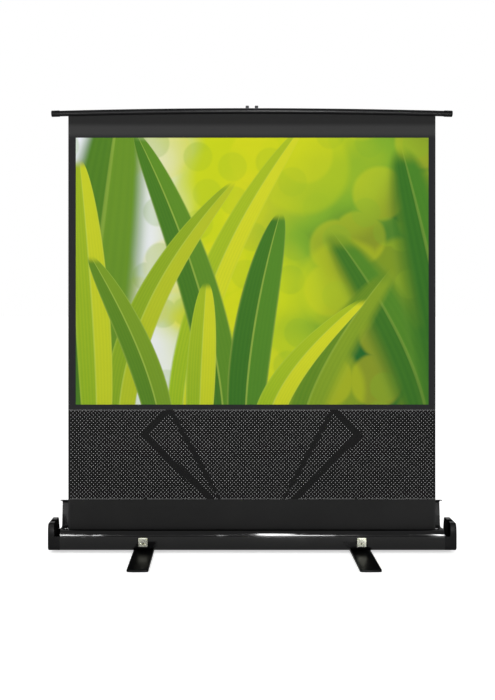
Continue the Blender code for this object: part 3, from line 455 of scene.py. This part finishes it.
def buildFloor():
    size = studio["floorSize"]
    corner = [(-size, -size, 0), (size, -size, 0), (size, size, 0), (-size, size, 0)]
    mesh = bpy.data.meshes.new("studio_floor")
    mesh.from_pydata(corner, [], [(0, 1, 2, 3)])
    floor = bpy.data.objects.new("studio_floor", mesh)
    bpy.context.scene.collection.objects.link(floor)
    tone = studio["floorTone"]
    paper = Finish("studio paper", Roughness=0.9, **{"Emission Strength": studio["floorGlow"]})
    fibres = paper.noise(30.0, 4.0)
    paper.set("Base Color", fibres.mix((tone,) * 3, (tone - 0.01,) * 3))
    paper.set("Emission Color", seenBackground(paper.wire).mix((0, 0, 0), (1, 1, 1)))
    mesh.materials.append(paper.material)


def buildWorld():
    world = bpy.data.worlds.new("studio")
    world.use_nodes = True
    bpy.context.scene.world = world
    tree = world.node_tree
    wire = Wire(tree)
    strength = seenBackground(wire) * (1 - studio["world"]) + studio["world"]
    background = tree.nodes["Background"]
    background.inputs["Color"].default_value = (1, 1, 1, 1)
    tree.links.new(strength.socket, background.inputs["Strength"])


def arc(centre, radii, startDeg, endDeg, steps=24):
    # Points on a circle or ellipse between two angles
    turn = np.radians(np.linspace(startDeg, endDeg, steps + 1))
    return np.stack([centre[0] + radii[0] * np.cos(turn), centre[1] + radii[1] * np.sin(turn)], axis=1)


def softened(points, radius, steps=5):
    # Each corner of an open line becomes a Bezier curve from a point before it to a point after it
    points = np.asarray(points, float)
    before, after = np.roll(points, 1, 0) - points, np.roll(points, -1, 0) - points
    shorter = np.minimum(np.linalg.norm(before, axis=1), np.linalg.norm(after, axis=1))
    reach = np.minimum(radius, 0.45 * shorter)[:, None]
    start = points + before / np.linalg.norm(before, axis=1)[:, None] * reach
    end = points + after / np.linalg.norm(after, axis=1)[:, None] * reach
    t = np.linspace(0, 1, steps)[None, :, None]
    curves = (1 - t) ** 2 * start[:, None] + 2 * t * (1 - t) * points[:, None] + t ** 2 * end[:, None]
    return np.vstack([points[:1], curves[1:-1].reshape(-1, 2), points[-1:]])


def offsetPath(path, wall):
    # A copy of an open path moved to its left by a wall, mitred at every point
    ahead = np.diff(path, axis=0)
    ahead /= np.linalg.norm(ahead, axis=1)[:, None]
    left = np.stack([-ahead[:, 1], ahead[:, 0]], axis=1)
    first, last = np.vstack([left[:1], left]), np.vstack([left, left[-1:]])
    return path + (first + last) / (1 + (first * last).sum(axis=1))[:, None] * wall


def inset(outline, depth):
    # A closed outline, anticlockwise, drawn in by a depth along the mitre of its edges
    ahead = np.roll(outline, -1, 0) - outline
    ahead /= np.linalg.norm(ahead, axis=1)[:, None]
    left = np.stack([-ahead[:, 1], ahead[:, 0]], axis=1)
    before = np.roll(left, 1, 0)
    return outline + (left + before) / (1 + (left * before).sum(axis=1))[:, None] * depth


def lifted(outline, along, axis):
    # A flat outline placed square to an axis, at one distance or one for each point
    along = np.broadcast_to(along, len(outline))
    order = dict(X=(along, outline[:, 0], outline[:, 1]), Y=(outline[:, 0], along, outline[:, 1]),
                 Z=(outline[:, 0], outline[:, 1], along))[axis]
    return np.stack(order, axis=1)


def plateRings(outline, low, high, edge, steps=4):
    # An upright plate with rounded rims: quarter circles of inset against depth at both faces
    turn = np.linspace(0, math.pi / 2, steps)
    depth, rise = edge * (1 - np.sin(turn)), edge * (1 - np.cos(turn))
    depths, levels = np.append(depth, depth[::-1]), np.append(low + rise, high - rise[::-1])
    return np.stack([lifted(inset(outline, d), level, "Y") for d, level in zip(depths, levels)])


def turnedRings(profile, axis, centre, count):
    # A (radius, distance) profile carried round an axis through a centre
    turn = np.arange(count) * math.tau / count
    circle = np.stack([np.cos(turn), np.sin(turn)], axis=1)
    rings = [lifted(circle * radius, along, axis) for radius, along in profile]
    return np.stack(rings) + np.array(centre)


def sweptRings(outline, stations):
    # An outline repeated at distances along X
    return np.stack([lifted(outline, along, "X") for along in stations])


def turnedAbout(points, centre, angle):
    # Flat points turned round a centre
    cosine, sine = math.cos(angle), math.sin(angle)
    shift = np.asarray(points) - centre
    return centre + shift @ np.array(((cosine, sine), (-sine, cosine)))


def tiltedRings(rings, place, tilt):
    # Rings turned about Y through the origin, from +X towards +Z, and then moved to a place
    cosine, sine = math.cos(tilt), math.sin(tilt)
    x, y, z = np.moveaxis(rings, -1, 0)
    return np.stack([x * cosine - z * sine, y, x * sine + z * cosine], axis=-1) + np.array(place)


def surface(name, rings, finish, body, replaced=(), endless=False):
    # Rings of points joined by quads and facing outwards, closed at both ends or joined end to end
    count, size = rings.shape[:2]
    index = np.arange(count * size).reshape(count, size)
    ends = [] if endless else [index[0][::-1], index[-1]]
    if endless:
        index = np.vstack([index, index[:1]])
    across = np.roll(index, -1, axis=1)
    quads = np.stack([index[:-1], across[:-1], across[1:], index[1:]], axis=-1).reshape(-1, 4)
    points = rings.reshape(-1, 3)
    first, second, third, fourth = np.moveaxis(points[quads], 1, 0)
    volume = (first * (np.cross(second, third) + np.cross(third, fourth))).sum()
    for end in ends:
        ring = points[end]
        volume += (ring[0] * np.cross(ring[1:-1], ring[2:])).sum()
    faces = quads.tolist() + [end.tolist() for end in ends]
    if volume < 0:
        faces = [face[::-1] for face in faces]
    return piece(name, points, faces, finish, body, replaced)


sharpFrom = math.radians(35)


def piece(name, points, faces, finish, body, replaced=()):
    # One object on its body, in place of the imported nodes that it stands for
    mesh = bpy.data.meshes.new(name)
    mesh.from_pydata(np.asarray(points).tolist(), [], faces)
    mesh.update()
    mesh.shade_smooth()
    mesh.set_sharp_from_angle(angle=sharpFrom)
    mesh.materials.append(finishes[finish])
    made = bpy.data.objects.new(name, mesh)
    bpy.context.scene.collection.objects.link(made)
    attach(made, body)
    if replaced:
        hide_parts(*replaced)
    return made


sides = dict(left=-1, right=1)
caseShape = dict(wall=2.5 * mm, rim=60 * mm, depth=100 * mm, ledge=3 * mm, shoulderRun=17 * mm,
                 shoulderRise=20 * mm, corner=6 * mm, frontCorner=14 * mm, bead=3 * mm, edge=0.5 * mm)
caseStations = 9


def buildCase():
    # Extrusion: a wall carried along the outer path, with the hinge bead rolled into its end
    low, high = corners("case_body")
    front, bottom = low[1], low[2]
    rear, rim = front + caseShape["depth"], caseShape["rim"]
    ledge = front + caseShape["ledge"]
    run, rise = caseShape["shoulderRun"], caseShape["shoulderRise"]
    lowFront, lowRear = caseShape["frontCorner"], caseShape["corner"]
    edge = caseShape["edge"]
    path = np.vstack([
        arc((ledge + run, rim), (run, rise), 90, 180),
        arc((front + edge, rim - edge), (edge, edge), 90, 180, 4),
        arc((front + lowFront, bottom + lowFront), (lowFront, lowFront), 180, 270),
        arc((rear - lowRear, bottom + lowRear), (lowRear, lowRear), 270, 360),
        [(rear, rim)]])
    bead, wall = caseShape["bead"], caseShape["wall"]
    centre = jointPlace("lid_hinge")[1:]
    meet = math.degrees(math.asin(wall / 2 / bead))
    outline = np.vstack([path[:-1], arc(centre, (bead, bead), meet - 90, 270 - meet, 32),
                         offsetPath(path, wall)[::-1][1:]])
    rings = sweptRings(outline, np.linspace(low[0], high[0], caseStations))
    surface("case_shell", rings, "case", "case", ["case_body"])


# The pocket takes the end of the top bar; front and rear are places along Y, low is a height
capShape = dict(wall=4 * mm, edge=5 * mm, frontRun=14 * mm, frontRise=40 * mm, rearTop=12 * mm,
                rimWidth=23 * mm, topWidth=20 * mm, rearLip=2 * mm, step=0.05 * mm,
                pocketFront=-20.4 * mm, pocketRear=9.6 * mm, pocketLow=75 * mm)


def edgeDraw(along):
    # How far a quarter-round edge lies inside its outline, at a distance from the end face
    edge = capShape["edge"]
    return edge - np.sqrt(edge ** 2 - (edge - np.minimum(along, edge)) ** 2)


def buildEndCaps():
    # Cup with a round end: outline against distance from its end face, out to its rims and back inside
    shape = capShape
    wall, edge, rim, margin = shape["wall"], shape["edge"], caseShape["rim"], shape["step"]
    rearRim = rim + shape["rearLip"]
    for sideName, side in sides.items():
        low, high = corners(f"end_cap_{sideName}")
        outer, full = (high[0] if side > 0 else low[0]), high[0] - low[0]
        front, rear, bottom, top = low[1], high[1], low[2], high[2]
        lowFront, lowRear, highRear = caseShape["frontCorner"], caseShape["corner"], shape["rearTop"]
        pocketY = np.array((shape["pocketRear"] + margin, shape["pocketRear"] - margin,
                            shape["pocketFront"] + margin, shape["pocketFront"] - margin))
        rearZ = np.array((rearRim - margin, rearRim + margin))
        frontZ = np.array((rim + margin, rim - margin))

        def ring(draw):
            return np.vstack([
                arc((front + lowFront, bottom + lowFront), (lowFront - draw,) * 2, 180, 270, 12),
                arc((rear - lowRear, bottom + lowRear), (lowRear - draw,) * 2, 270, 360, 10),
                np.stack([np.full(2, rear - draw), rearZ], 1),
                arc((rear - highRear, top - highRear), (highRear - draw,) * 2, 0, 90, 12),
                np.stack([pocketY, np.full(4, top - draw)], 1),
                arc((front + shape["frontRun"], top - shape["frontRise"]),
                    (shape["frontRun"] - draw, shape["frontRise"] - draw), 90, 180, 24),
                np.stack([np.full(2, front + draw), frontZ], 1)])

        outline = ring(0)
        rimHere = np.where(outline[:, 0] > 0, rearRim, rim)
        share = (outline[:, 1] - rimHere) / (top - rimHere)
        taper = shape["topWidth"] - shape["rimWidth"]
        reach = np.where(share > 0, shape["rimWidth"] + taper * share, full)
        inPocket = ((outline[:, 0] < shape["pocketRear"]) & (outline[:, 0] > shape["pocketFront"])
                    & (outline[:, 1] > shape["pocketLow"]))
        reach = np.where(inPocket, wall + margin, reach)
        rings = []
        for turn in np.linspace(0, math.pi / 2, 7):
            along = np.where(inPocket, wall / edge, 1.0) * edge * (1 - math.cos(turn))
            rounded = ring(edgeDraw(edge * (1 - math.cos(turn))))
            rounded[inPocket, 1] = top - edgeDraw(along[inPocket])
            rings.append(lifted(rounded, outer - side * along, "X"))
        rounded[~inPocket] = outline[~inPocket]
        rings += [lifted(rounded, outer - side * reach, "X"), lifted(ring(wall), outer - side * reach, "X"),
                  lifted(ring(wall), outer - side * wall, "X")]
        surface(f"cap_moulding_{sideName}", np.stack(rings), "plastic", "case", [f"end_cap_{sideName}"])


# The socket grips the bead from one angle round to the other
lidShape = dict(wall=1.6 * mm, openAngle=97, lip=2 * mm, lipGap=0.3 * mm, socketWall=2 * mm,
                socketGap=0.3 * mm, socketStart=50, socketEnd=235)


def buildLid():
    # Cover in its closed place, with the hinge socket at the foot of its rear wall, then swung open;
    # past the case's ends the wall has a plain round foot
    shape = lidShape
    bodyLow, bodyHigh = corners("case_body")
    lidLow, lidHigh = corners("lid")
    capLow, capHigh = corners("end_cap_left")
    front, rear, top, rim = capLow[1], capHigh[1], capHigh[2], caseShape["rim"]
    centre = jointPlace("lid_hinge")[1:]
    inner = caseShape["bead"] + shape["socketGap"]
    outer = inner + shape["socketWall"]
    run, rise, bend = capShape["frontRun"], capShape["frontRise"], capShape["rearTop"]
    path = np.vstack([
        [(front + shape["lip"], rim + shape["lipGap"]), (front, rim + shape["lip"])],
        arc((front + run, top - rise), (run, rise), 180, 90),
        arc((rear - bend, top - bend), (bend, bend), 90, 0),
        [(rear, centre[1] + outer)]])
    innerPath = offsetPath(path, -shape["wall"])
    outAngle = math.degrees(math.acos((rear - centre[0]) / outer))
    inAngle = math.degrees(math.acos((rear - shape["wall"] - centre[0]) / outer))
    socket = np.vstack([arc(centre, (outer, outer), outAngle, shape["socketStart"], 6),
                        arc(centre, (inner, inner), shape["socketStart"], shape["socketEnd"], 20),
                        arc(centre, (outer, outer), shape["socketEnd"], inAngle, 16)])
    half = shape["wall"] / 2
    plain = arc((rear - half, centre[1] + outer), (half, half), 0, -180, len(socket) - 1)
    swing = -math.radians(shape["openAngle"])
    withSocket, without = [turnedAbout(np.vstack([path[:-1], foot, innerPath[::-1][1:]]), centre, swing)
                           for foot in (socket, plain)]
    past = bodyLow[0] - capShape["step"]
    rings = np.concatenate([sweptRings(without, (lidLow[0], past)),
                            sweptRings(withSocket, np.linspace(bodyLow[0], bodyHigh[0], caseStations)),
                            sweptRings(without, (-past, lidHigh[0]))])
    surface("lid_cover", rings, "lid", "lid", ["lid"])


barShape = dict(radius=9.8 * mm, wall=1.8 * mm, slot=2.4 * mm, bow=10 * mm, stations=49, arcSteps=44,
                capRadius=11 * mm, capGap=0.3 * mm, capRound=2 * mm, capLength=26 * mm, capEnd=2 * mm,
                capCentre=0.2 * mm, capSides=48)


def barDrop(x):
    # How far the bowed bar lies below its middle: a parabola along it
    return barShape["bow"] * (x / cadBox[1][0]) ** 2


def buildBar():
    # Slotted tube carried along the bow, and a moulded cap over each end
    shape = barShape
    low, high = corners("top_bar")
    y, z = (low[1] + high[1]) / 2, high[2] - shape["radius"]
    outerSlot = math.degrees(math.asin(shape["slot"] / 2 / shape["radius"]))
    innerRadius = shape["radius"] - shape["wall"]
    innerSlot = math.degrees(math.asin(shape["slot"] / 2 / innerRadius))
    steps = shape["arcSteps"]
    outline = np.vstack([arc((y, z), (shape["radius"],) * 2, outerSlot - 90, 270 - outerSlot, steps),
                         arc((y, z), (innerRadius,) * 2, 270 - innerSlot, innerSlot - 90, steps)])
    stations = np.linspace(low[0], high[0], shape["stations"])
    rings = sweptRings(outline, stations)
    rings[:, :, 2] -= barDrop(stations)[:, None]
    surface("bar_tube", rings, "bar", "bar", ["top_bar"])
    end, mouth = high[0] + shape["capEnd"], high[0] - shape["capLength"]
    profile = softened([(shape["capCentre"], end), (shape["capRadius"], end), (shape["capRadius"], mouth),
                        (shape["radius"] + shape["capGap"], mouth)], shape["capRound"], steps=7)
    middle = (high[0] + mouth) / 2
    tilt = math.atan(2 * shape["bow"] * middle / cadBox[1][0] ** 2)
    for sideName, side in sides.items():
        sided = np.column_stack([profile[:, 0], (profile[:, 1] - middle) * side])
        rings = turnedRings(sided, "X", (0, 0, 0), shape["capSides"])
        rings = tiltedRings(rings, (side * middle, y, z - barDrop(middle)), -side * tilt)
        surface(f"bar_end_{sideName}", rings, "plastic", "bar", [f"bar_cap_{sideName}"])


armShape = dict(width=20 * mm, knuckle=12 * mm, edge=1.0 * mm)
pivots = {name: jointPlace(joint)[[0, 2]] for name, joint in dict(
    base="fold", lowLeft="low_left_elbow", lowRight="low_right_elbow", highLeft="high_left_elbow",
    highRight="high_right_elbow", top="bar_pivot", strutLeft="strut_left_pivot",
    strutRight="strut_right_pivot").items()}
pivots["middle"] = (pivots["lowLeft"] + pivots["highRight"]) / 2
armEnds = dict(lower_arm_left=("base", "lowLeft"), lower_arm_right=("base", "lowRight"),
               cross_arm_rear=("lowLeft", "highRight"), cross_arm_front=("lowRight", "highLeft"),
               upper_arm_left=("highLeft", "top"), upper_arm_right=("highRight", "top"))


def buildArms():
    # Flat bars with round ends a little wider than the bar, all their rims softened
    shape = armShape
    spread = math.degrees(math.asin(shape["width"] / 2 / shape["knuckle"]))
    knuckle = (shape["knuckle"],) * 2
    for name, (start, finish) in armEnds.items():
        first, last = pivots[start], pivots[finish]
        length = np.linalg.norm(last - first)
        outline = np.vstack([arc((length, 0), knuckle, 180 + spread, 540 - spread, 40),
                             arc((0, 0), knuckle, spread, 360 - spread, 40)])
        low, high = corners(name)
        rings = plateRings(outline, low[1], high[1], shape["edge"])
        tilt = math.atan2(*(last - first)[::-1])
        surface(f"{name}_bar", tiltedRings(rings, (first[0], 0, first[1]), tilt), "arms", name, [name])


rivetShape = dict(head=7.5 * mm, crown=1.4 * mm, shank=4 * mm, domeEnd=84, domeSteps=8, sides=36)
# Each rivet's pivot and the body that it rides on
rivetNodes = dict(base_rivet=("base", "case"), elbow_rivet_low_left=("lowLeft", "lower_arm_left"),
                  elbow_rivet_low_right=("lowRight", "lower_arm_right"),
                  middle_rivet=("middle", "cross_arm_rear"),
                  elbow_rivet_high_left=("highLeft", "cross_arm_front"),
                  elbow_rivet_high_right=("highRight", "cross_arm_rear"), top_rivet=("top", "bar"))


def buildRivets():
    # Domed head, shank and domed head on one turned profile
    shape = rivetShape
    crown, shank = shape["crown"], shape["shank"]
    dome = arc((0, 0), (shape["head"], crown), 0, shape["domeEnd"], shape["domeSteps"])
    for name, (pivot, body) in rivetNodes.items():
        low, high = corners(name)
        front = np.column_stack([dome[::-1, 0], low[1] + crown - dome[::-1, 1]])
        back = np.column_stack([dome[:, 0], high[1] - crown + dome[:, 1]])
        profile = np.vstack([front, [(shank, low[1] + crown), (shank, high[1] - crown)], back])
        x, z = pivots[pivot]
        rings = turnedRings(profile, "Y", (x, 0, z), shape["sides"])
        surface(f"{name}_head", rings, "steel", body, [name])


# Lengths run from the upper eye; plane is the struts' distance behind the arms' pivots
strutShape = dict(radius=8 * mm, length=0.300, start=4 * mm, neckEnd=11 * mm, neck=4.6 * mm, slope=1.8 * mm,
                  mouth=6.2 * mm, gap=0.6 * mm, rounding=2.5 * mm, rod=4 * mm, rodInside=8 * mm,
                  rodRounding=0.4 * mm, core=0.5 * mm, eye=7.5 * mm, eyeHalf=5 * mm, eyeRounding=1 * mm,
                  plane=32 * mm, tubeSides=36, rodSides=28, eyeSides=32)


def buildStruts():
    # Cylinder with a necked closed end and a rolled mouth, its eye, and the rod with its own eye
    shape = strutShape
    core, start, length, rod = shape["core"], shape["start"], shape["length"], shape["rod"]
    tube = softened([(core, start), (shape["neck"], start), (shape["neck"], shape["neckEnd"]),
                     (shape["radius"], shape["neckEnd"] + shape["slope"]),
                     (shape["radius"], length - shape["slope"]), (shape["mouth"], length),
                     (rod + shape["gap"], length)], shape["rounding"])
    half = shape["eyeHalf"]
    eye = softened([(core, -half), (shape["eye"], -half), (shape["eye"], half), (core, half)],
                   shape["eyeRounding"])
    for sideName in sides:
        top = pivots["strut" + sideName.capitalize()]
        foot = sum(corners(f"anchor_stud_{sideName}"))[[0, 2]] / 2
        reach = np.linalg.norm(foot - top)
        tilt = math.atan2(*(foot - top)[::-1])
        place = (top[0], shape["plane"], top[1])
        inside, end = length - shape["rodInside"], reach - start
        piston = softened([(core, inside), (rod, inside), (rod, end), (core, end)], shape["rodRounding"])
        for name, node, profile, count, finish in (
                ("strut_tube", "strut_cylinder", tube, shape["tubeSides"], "arms"),
                ("strut_piston", "strut_rod", piston, shape["rodSides"], "steel")):
            body = f"{node}_{sideName}"
            rings = tiltedRings(turnedRings(profile, "X", (0, 0, 0), count), place, tilt)
            surface(f"{name}_{sideName}", rings, finish, body, [body])
        for along, body, finish, name in ((0, "strut_cylinder", "arms", "strut_eye"),
                                          (reach, "strut_rod", "plastic", "piston_eye")):
            spot = top + (foot - top) / reach * along
            rings = turnedRings(eye, "Y", (spot[0], shape["plane"], spot[1]), shape["eyeSides"])
            surface(f"{name}_{sideName}", rings, finish, f"{body}_{sideName}")


footShape = dict(corner=5 * mm, bulge=2 * mm, edge=2.5 * mm, rib=3 * mm, recess=4.5 * mm, bevel=0.6 * mm)


def buildFeet():
    # Flat bar with bulged ends: recess ceiling, rim, outer side, rounded top edge
    shape = footShape
    rib, bevel = shape["rib"], shape["bevel"]
    for sideName in sides:
        low, high = corners(f"foot_{sideName}")
        middle = (low + high) / 2
        across, along = (high[0] - low[0]) / 2, (high[1] - low[1]) / 2
        cornerX, cornerY = across - shape["corner"], along - shape["bulge"] - shape["corner"]
        bulge, bulgeY = (cornerX, shape["bulge"]), along - shape["bulge"]
        radius = (shape["corner"],) * 2
        outline = np.vstack([
            arc((cornerX, -cornerY), radius, -88, 0, 8), arc((cornerX, cornerY), radius, 0, 88, 8),
            arc((0, bulgeY), bulge, 12, 168, 16), arc((-cornerX, cornerY), radius, 92, 180, 8),
            arc((-cornerX, -cornerY), radius, 180, 268, 8), arc((0, -bulgeY), bulge, 192, 348, 16)])
        outline += middle[:2]
        turn = np.linspace(0, math.pi / 2, 6)
        depth, rise = shape["edge"] * (1 - np.cos(turn)), shape["edge"] * (1 - np.sin(turn))
        levels = [(rib, low[2] + shape["recess"]), (rib, low[2] + bevel), (rib - bevel, low[2]),
                  (bevel, low[2]), (0, low[2] + bevel)]
        levels += list(zip(depth, high[2] - rise))
        rings = np.stack([lifted(inset(outline, draw), level, "Z") for draw, level in levels])
        surface(f"foot_bar_{sideName}", rings, "feet", f"foot_{sideName}", [f"foot_{sideName}"])


rollerShape = dict(tubeWall=1.5 * mm, clothWall=1.2 * mm, sides=64)


def buildRoller():
    # Tube and wound cloth as finely turned sleeves on the roller's axis
    shape = rollerShape
    for node, finish, name, hollow in (("roller_tube", "tube", "roller_sleeve", shape["tubeWall"]),
                                       ("cloth_roll", "band", "wound_cloth", shape["clothWall"])):
        low, high = corners(node)
        middle = (low + high) / 2
        outer = (high[2] - low[2]) / 2
        inner = outer - hollow
        profile = [(inner, low[0]), (outer, low[0]), (outer, high[0]), (inner, high[0])]
        rings = turnedRings(profile, "X", (0, middle[1], middle[2]), shape["sides"])
        surface(name, rings, finish, "roller", [node], endless=True)


# barEdge is the length of the picture cloth that goes down with the bar; the second row is the drop's holes
clothShape = dict(thick=0.6 * mm, barEdge=25 * mm, waves=0.5 * mm,
                  hole=1.62 * mm, margin=6 * mm, pitch=6.475 * mm, rowPitch=6.56 * mm)
clothGrid = dict(picture=(120, 90), edge=(120, 4), band=(60, 12))
waveTurns = ((9.0, 2.5), (-1.7, 5.0))  # radians per metre, across and up, of two crossing waves


def clothWaves(x, z):
    # Slight tension waves: slow across, faded out towards the bar and the roller
    low, high = cadBox[0][2], cadBox[1][2]
    calm = np.sin(np.clip((z - low) / (high - low), 0, 1) * math.pi)
    first, second = [x * across + z * upward for across, upward in waveTurns]
    return clothShape["waves"] * calm * np.sin(first) * np.cos(second)


def clothRings(low, high, stretch, topDrop, columns, rows):
    # Each station across is a thin loop: up the front of the sheet and down its back; stretch gives
    # its two edges as heights above the node's foot, and topDrop how much each follows the bowed bar
    x = np.linspace(low[0], high[0], columns)[:, None]
    share = np.linspace(0, 1, rows)[None, :]
    foot, top = [low[2] + level - barDrop(x) * drop for level, drop in zip(stretch, topDrop)]
    z = foot + (top - foot) * share
    x = np.broadcast_to(x, z.shape)
    middle = (low[1] + high[1]) / 2 + clothWaves(x, z)
    half = clothShape["thick"] / 2
    front = np.stack([x, middle - half, z], -1)
    back = np.stack([x, middle + half, z], -1)[:, ::-1]
    return np.concatenate([front, back], axis=1)


def sheetPiece(name, node, grid, finish, backFinish=None, stretch=None, topDrop=(0, 0), body="case"):
    # One length of cloth with a UV map over its whole node; a piece on the bar doesn't stand for the node
    low, high = corners(node)
    rings = clothRings(low, high, stretch or (0, high[2] - low[2]), topDrop, *grid)
    sheet = surface(name, rings, finish, body, [node] if body == "case" else ())
    mesh = sheet.data
    points = rings.reshape(-1, 3)
    span = high - low
    places = np.stack([(points[:, 0] - low[0]) / span[0], (points[:, 2] - low[2]) / span[2]], 1)
    loops = np.zeros(len(mesh.loops), dtype=np.int32)
    mesh.loops.foreach_get("vertex_index", loops)
    layer = mesh.uv_layers.new(name="sheet")
    layer.data.foreach_set("uv", places[loops].astype(np.float32).ravel())
    if backFinish:
        mesh.materials.append(finishes[backFinish])
        normals = np.zeros(len(mesh.polygons) * 3, dtype=np.float32)
        mesh.polygons.foreach_get("normal", normals)
        mesh.polygons.foreach_set("material_index", (normals[1::3] > 0.5).astype(np.int32))
    return sheet


def perforatedSheet(name, node, finish):
    # Chequer of nearly square cells: every other cell holds a six-sided hole, whose rim joins front and back
    low, high = corners(node)
    shape = clothShape
    columns = int((high[0] - low[0] - 2 * shape["margin"]) / shape["pitch"])
    rows = int((high[2] - low[2]) / shape["rowPitch"])
    edgesX = np.linspace(low[0] + shape["margin"], high[0] - shape["margin"], columns + 1)
    edgesX = np.concatenate([[low[0]], edgesX, [high[0]]])
    edgesZ = np.linspace(low[2], high[2], rows + 1)
    gridX, gridZ = np.meshgrid(edgesX, edgesZ, indexing="ij")
    flat = np.stack([gridX, np.zeros_like(gridX), gridZ], -1).reshape(-1, 3)
    index = np.arange(len(flat)).reshape(gridX.shape)
    cells = np.stack([index[:-1, :-1], index[1:, :-1], index[1:, 1:], index[:-1, 1:]], -1)
    i, j = np.meshgrid(np.arange(cells.shape[0]), np.arange(cells.shape[1]), indexing="ij")
    holed = ((i + j) % 2 == 0) & (i > 0) & (i < cells.shape[0] - 1)
    plain, pierced = cells[~holed], cells[holed]
    turn = np.radians(np.array((210, 270, 330, 30, 90, 150)))
    ring = np.stack([np.cos(turn), np.zeros(6), np.sin(turn)], -1) * shape["hole"] / 2
    middles = flat[pierced].mean(axis=1)
    rims = (middles[:, None] + ring[None]).reshape(-1, 3)
    rim = len(flat) + np.arange(len(rims)).reshape(-1, 6)
    a, b, c, d = pierced.T
    web = [np.stack([start, end, rim[:, first], rim[:, last]], 1) for start, end, first, last in
           ((a, b, 1, 0), (b, c, 3, 2), (c, d, 4, 3), (d, a, 0, 5))]
    quads = np.vstack([plain] + web)
    triangles = np.vstack([np.stack([b, rim[:, 2], rim[:, 1]], 1), np.stack([d, rim[:, 5], rim[:, 4]], 1)])
    points = np.vstack([flat, rims])
    wave = clothWaves(points[:, 0], points[:, 2]) + (low[1] + high[1]) / 2
    front, back = points.copy(), points.copy()
    front[:, 1] = wave - shape["thick"] / 2
    back[:, 1] = wave + shape["thick"] / 2
    shift = len(points)
    after = np.roll(rim, -1, axis=1)
    hollows = np.stack([rim, after, after + shift, rim + shift], -1).reshape(-1, 4)
    border = np.concatenate([index[:, 0], index[-1, 1:], index[-2::-1, -1], index[0, -2:0:-1]])
    following = np.roll(border, -1)
    edge = np.stack([following, border, border + shift, following + shift], -1)
    allQuads = np.vstack([quads, quads[:, ::-1] + shift, hollows, edge]).tolist()
    allTriangles = np.vstack([triangles, triangles[:, ::-1] + shift]).tolist()
    made = piece(name, np.vstack([front, back]), allQuads + allTriangles, finish, "case", [node])
    holeArea = 1.5 * math.sqrt(3) * (shape["hole"] / 2) ** 2 * int(holed.sum())
    print("holes in the drop", int(holed.sum()))
    return made, (high[0] - low[0]) * (high[2] - low[2]) - holeArea


def buildCloth():
    # Three lengths of one tensioned screen; the last of the picture sheet goes down with the bar
    low, high = corners("picture_sheet")
    full, edge = high[2] - low[2], clothShape["barEdge"]
    pictureSheet = sheetPiece("picture_cloth", "picture_sheet", clothGrid["picture"], "picture", "backing",
                              (0, full - edge), (0, 1))
    barEdge = sheetPiece("picture_cloth_edge", "picture_sheet", clothGrid["edge"], "picture", "backing",
                         (full - edge, full), (1, 1), "bar")
    drop, dropArea = perforatedSheet("perforated_drop", "mesh_drop", "mesh")
    lower = sheetPiece("plain_band_cloth", "lower_band", clothGrid["band"], "band")
    for cloth, area in ((pictureSheet, None), (drop, dropArea), (lower, None)):
        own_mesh(cloth)


bpy.context.scene.view_settings.view_transform = "Standard"
buildCamera()
buildLamps()
buildWorld()
buildFloor()
dressNodes()
print("camera, lamps, floor and finishes")
buildCase()
buildEndCaps()
buildLid()
buildBar()
print("case, lid and top bar")
buildArms()
buildRivets()
buildStruts()
buildFeet()
buildRoller()
print("arms, struts, feet and roller")
buildCloth()
print("screen")
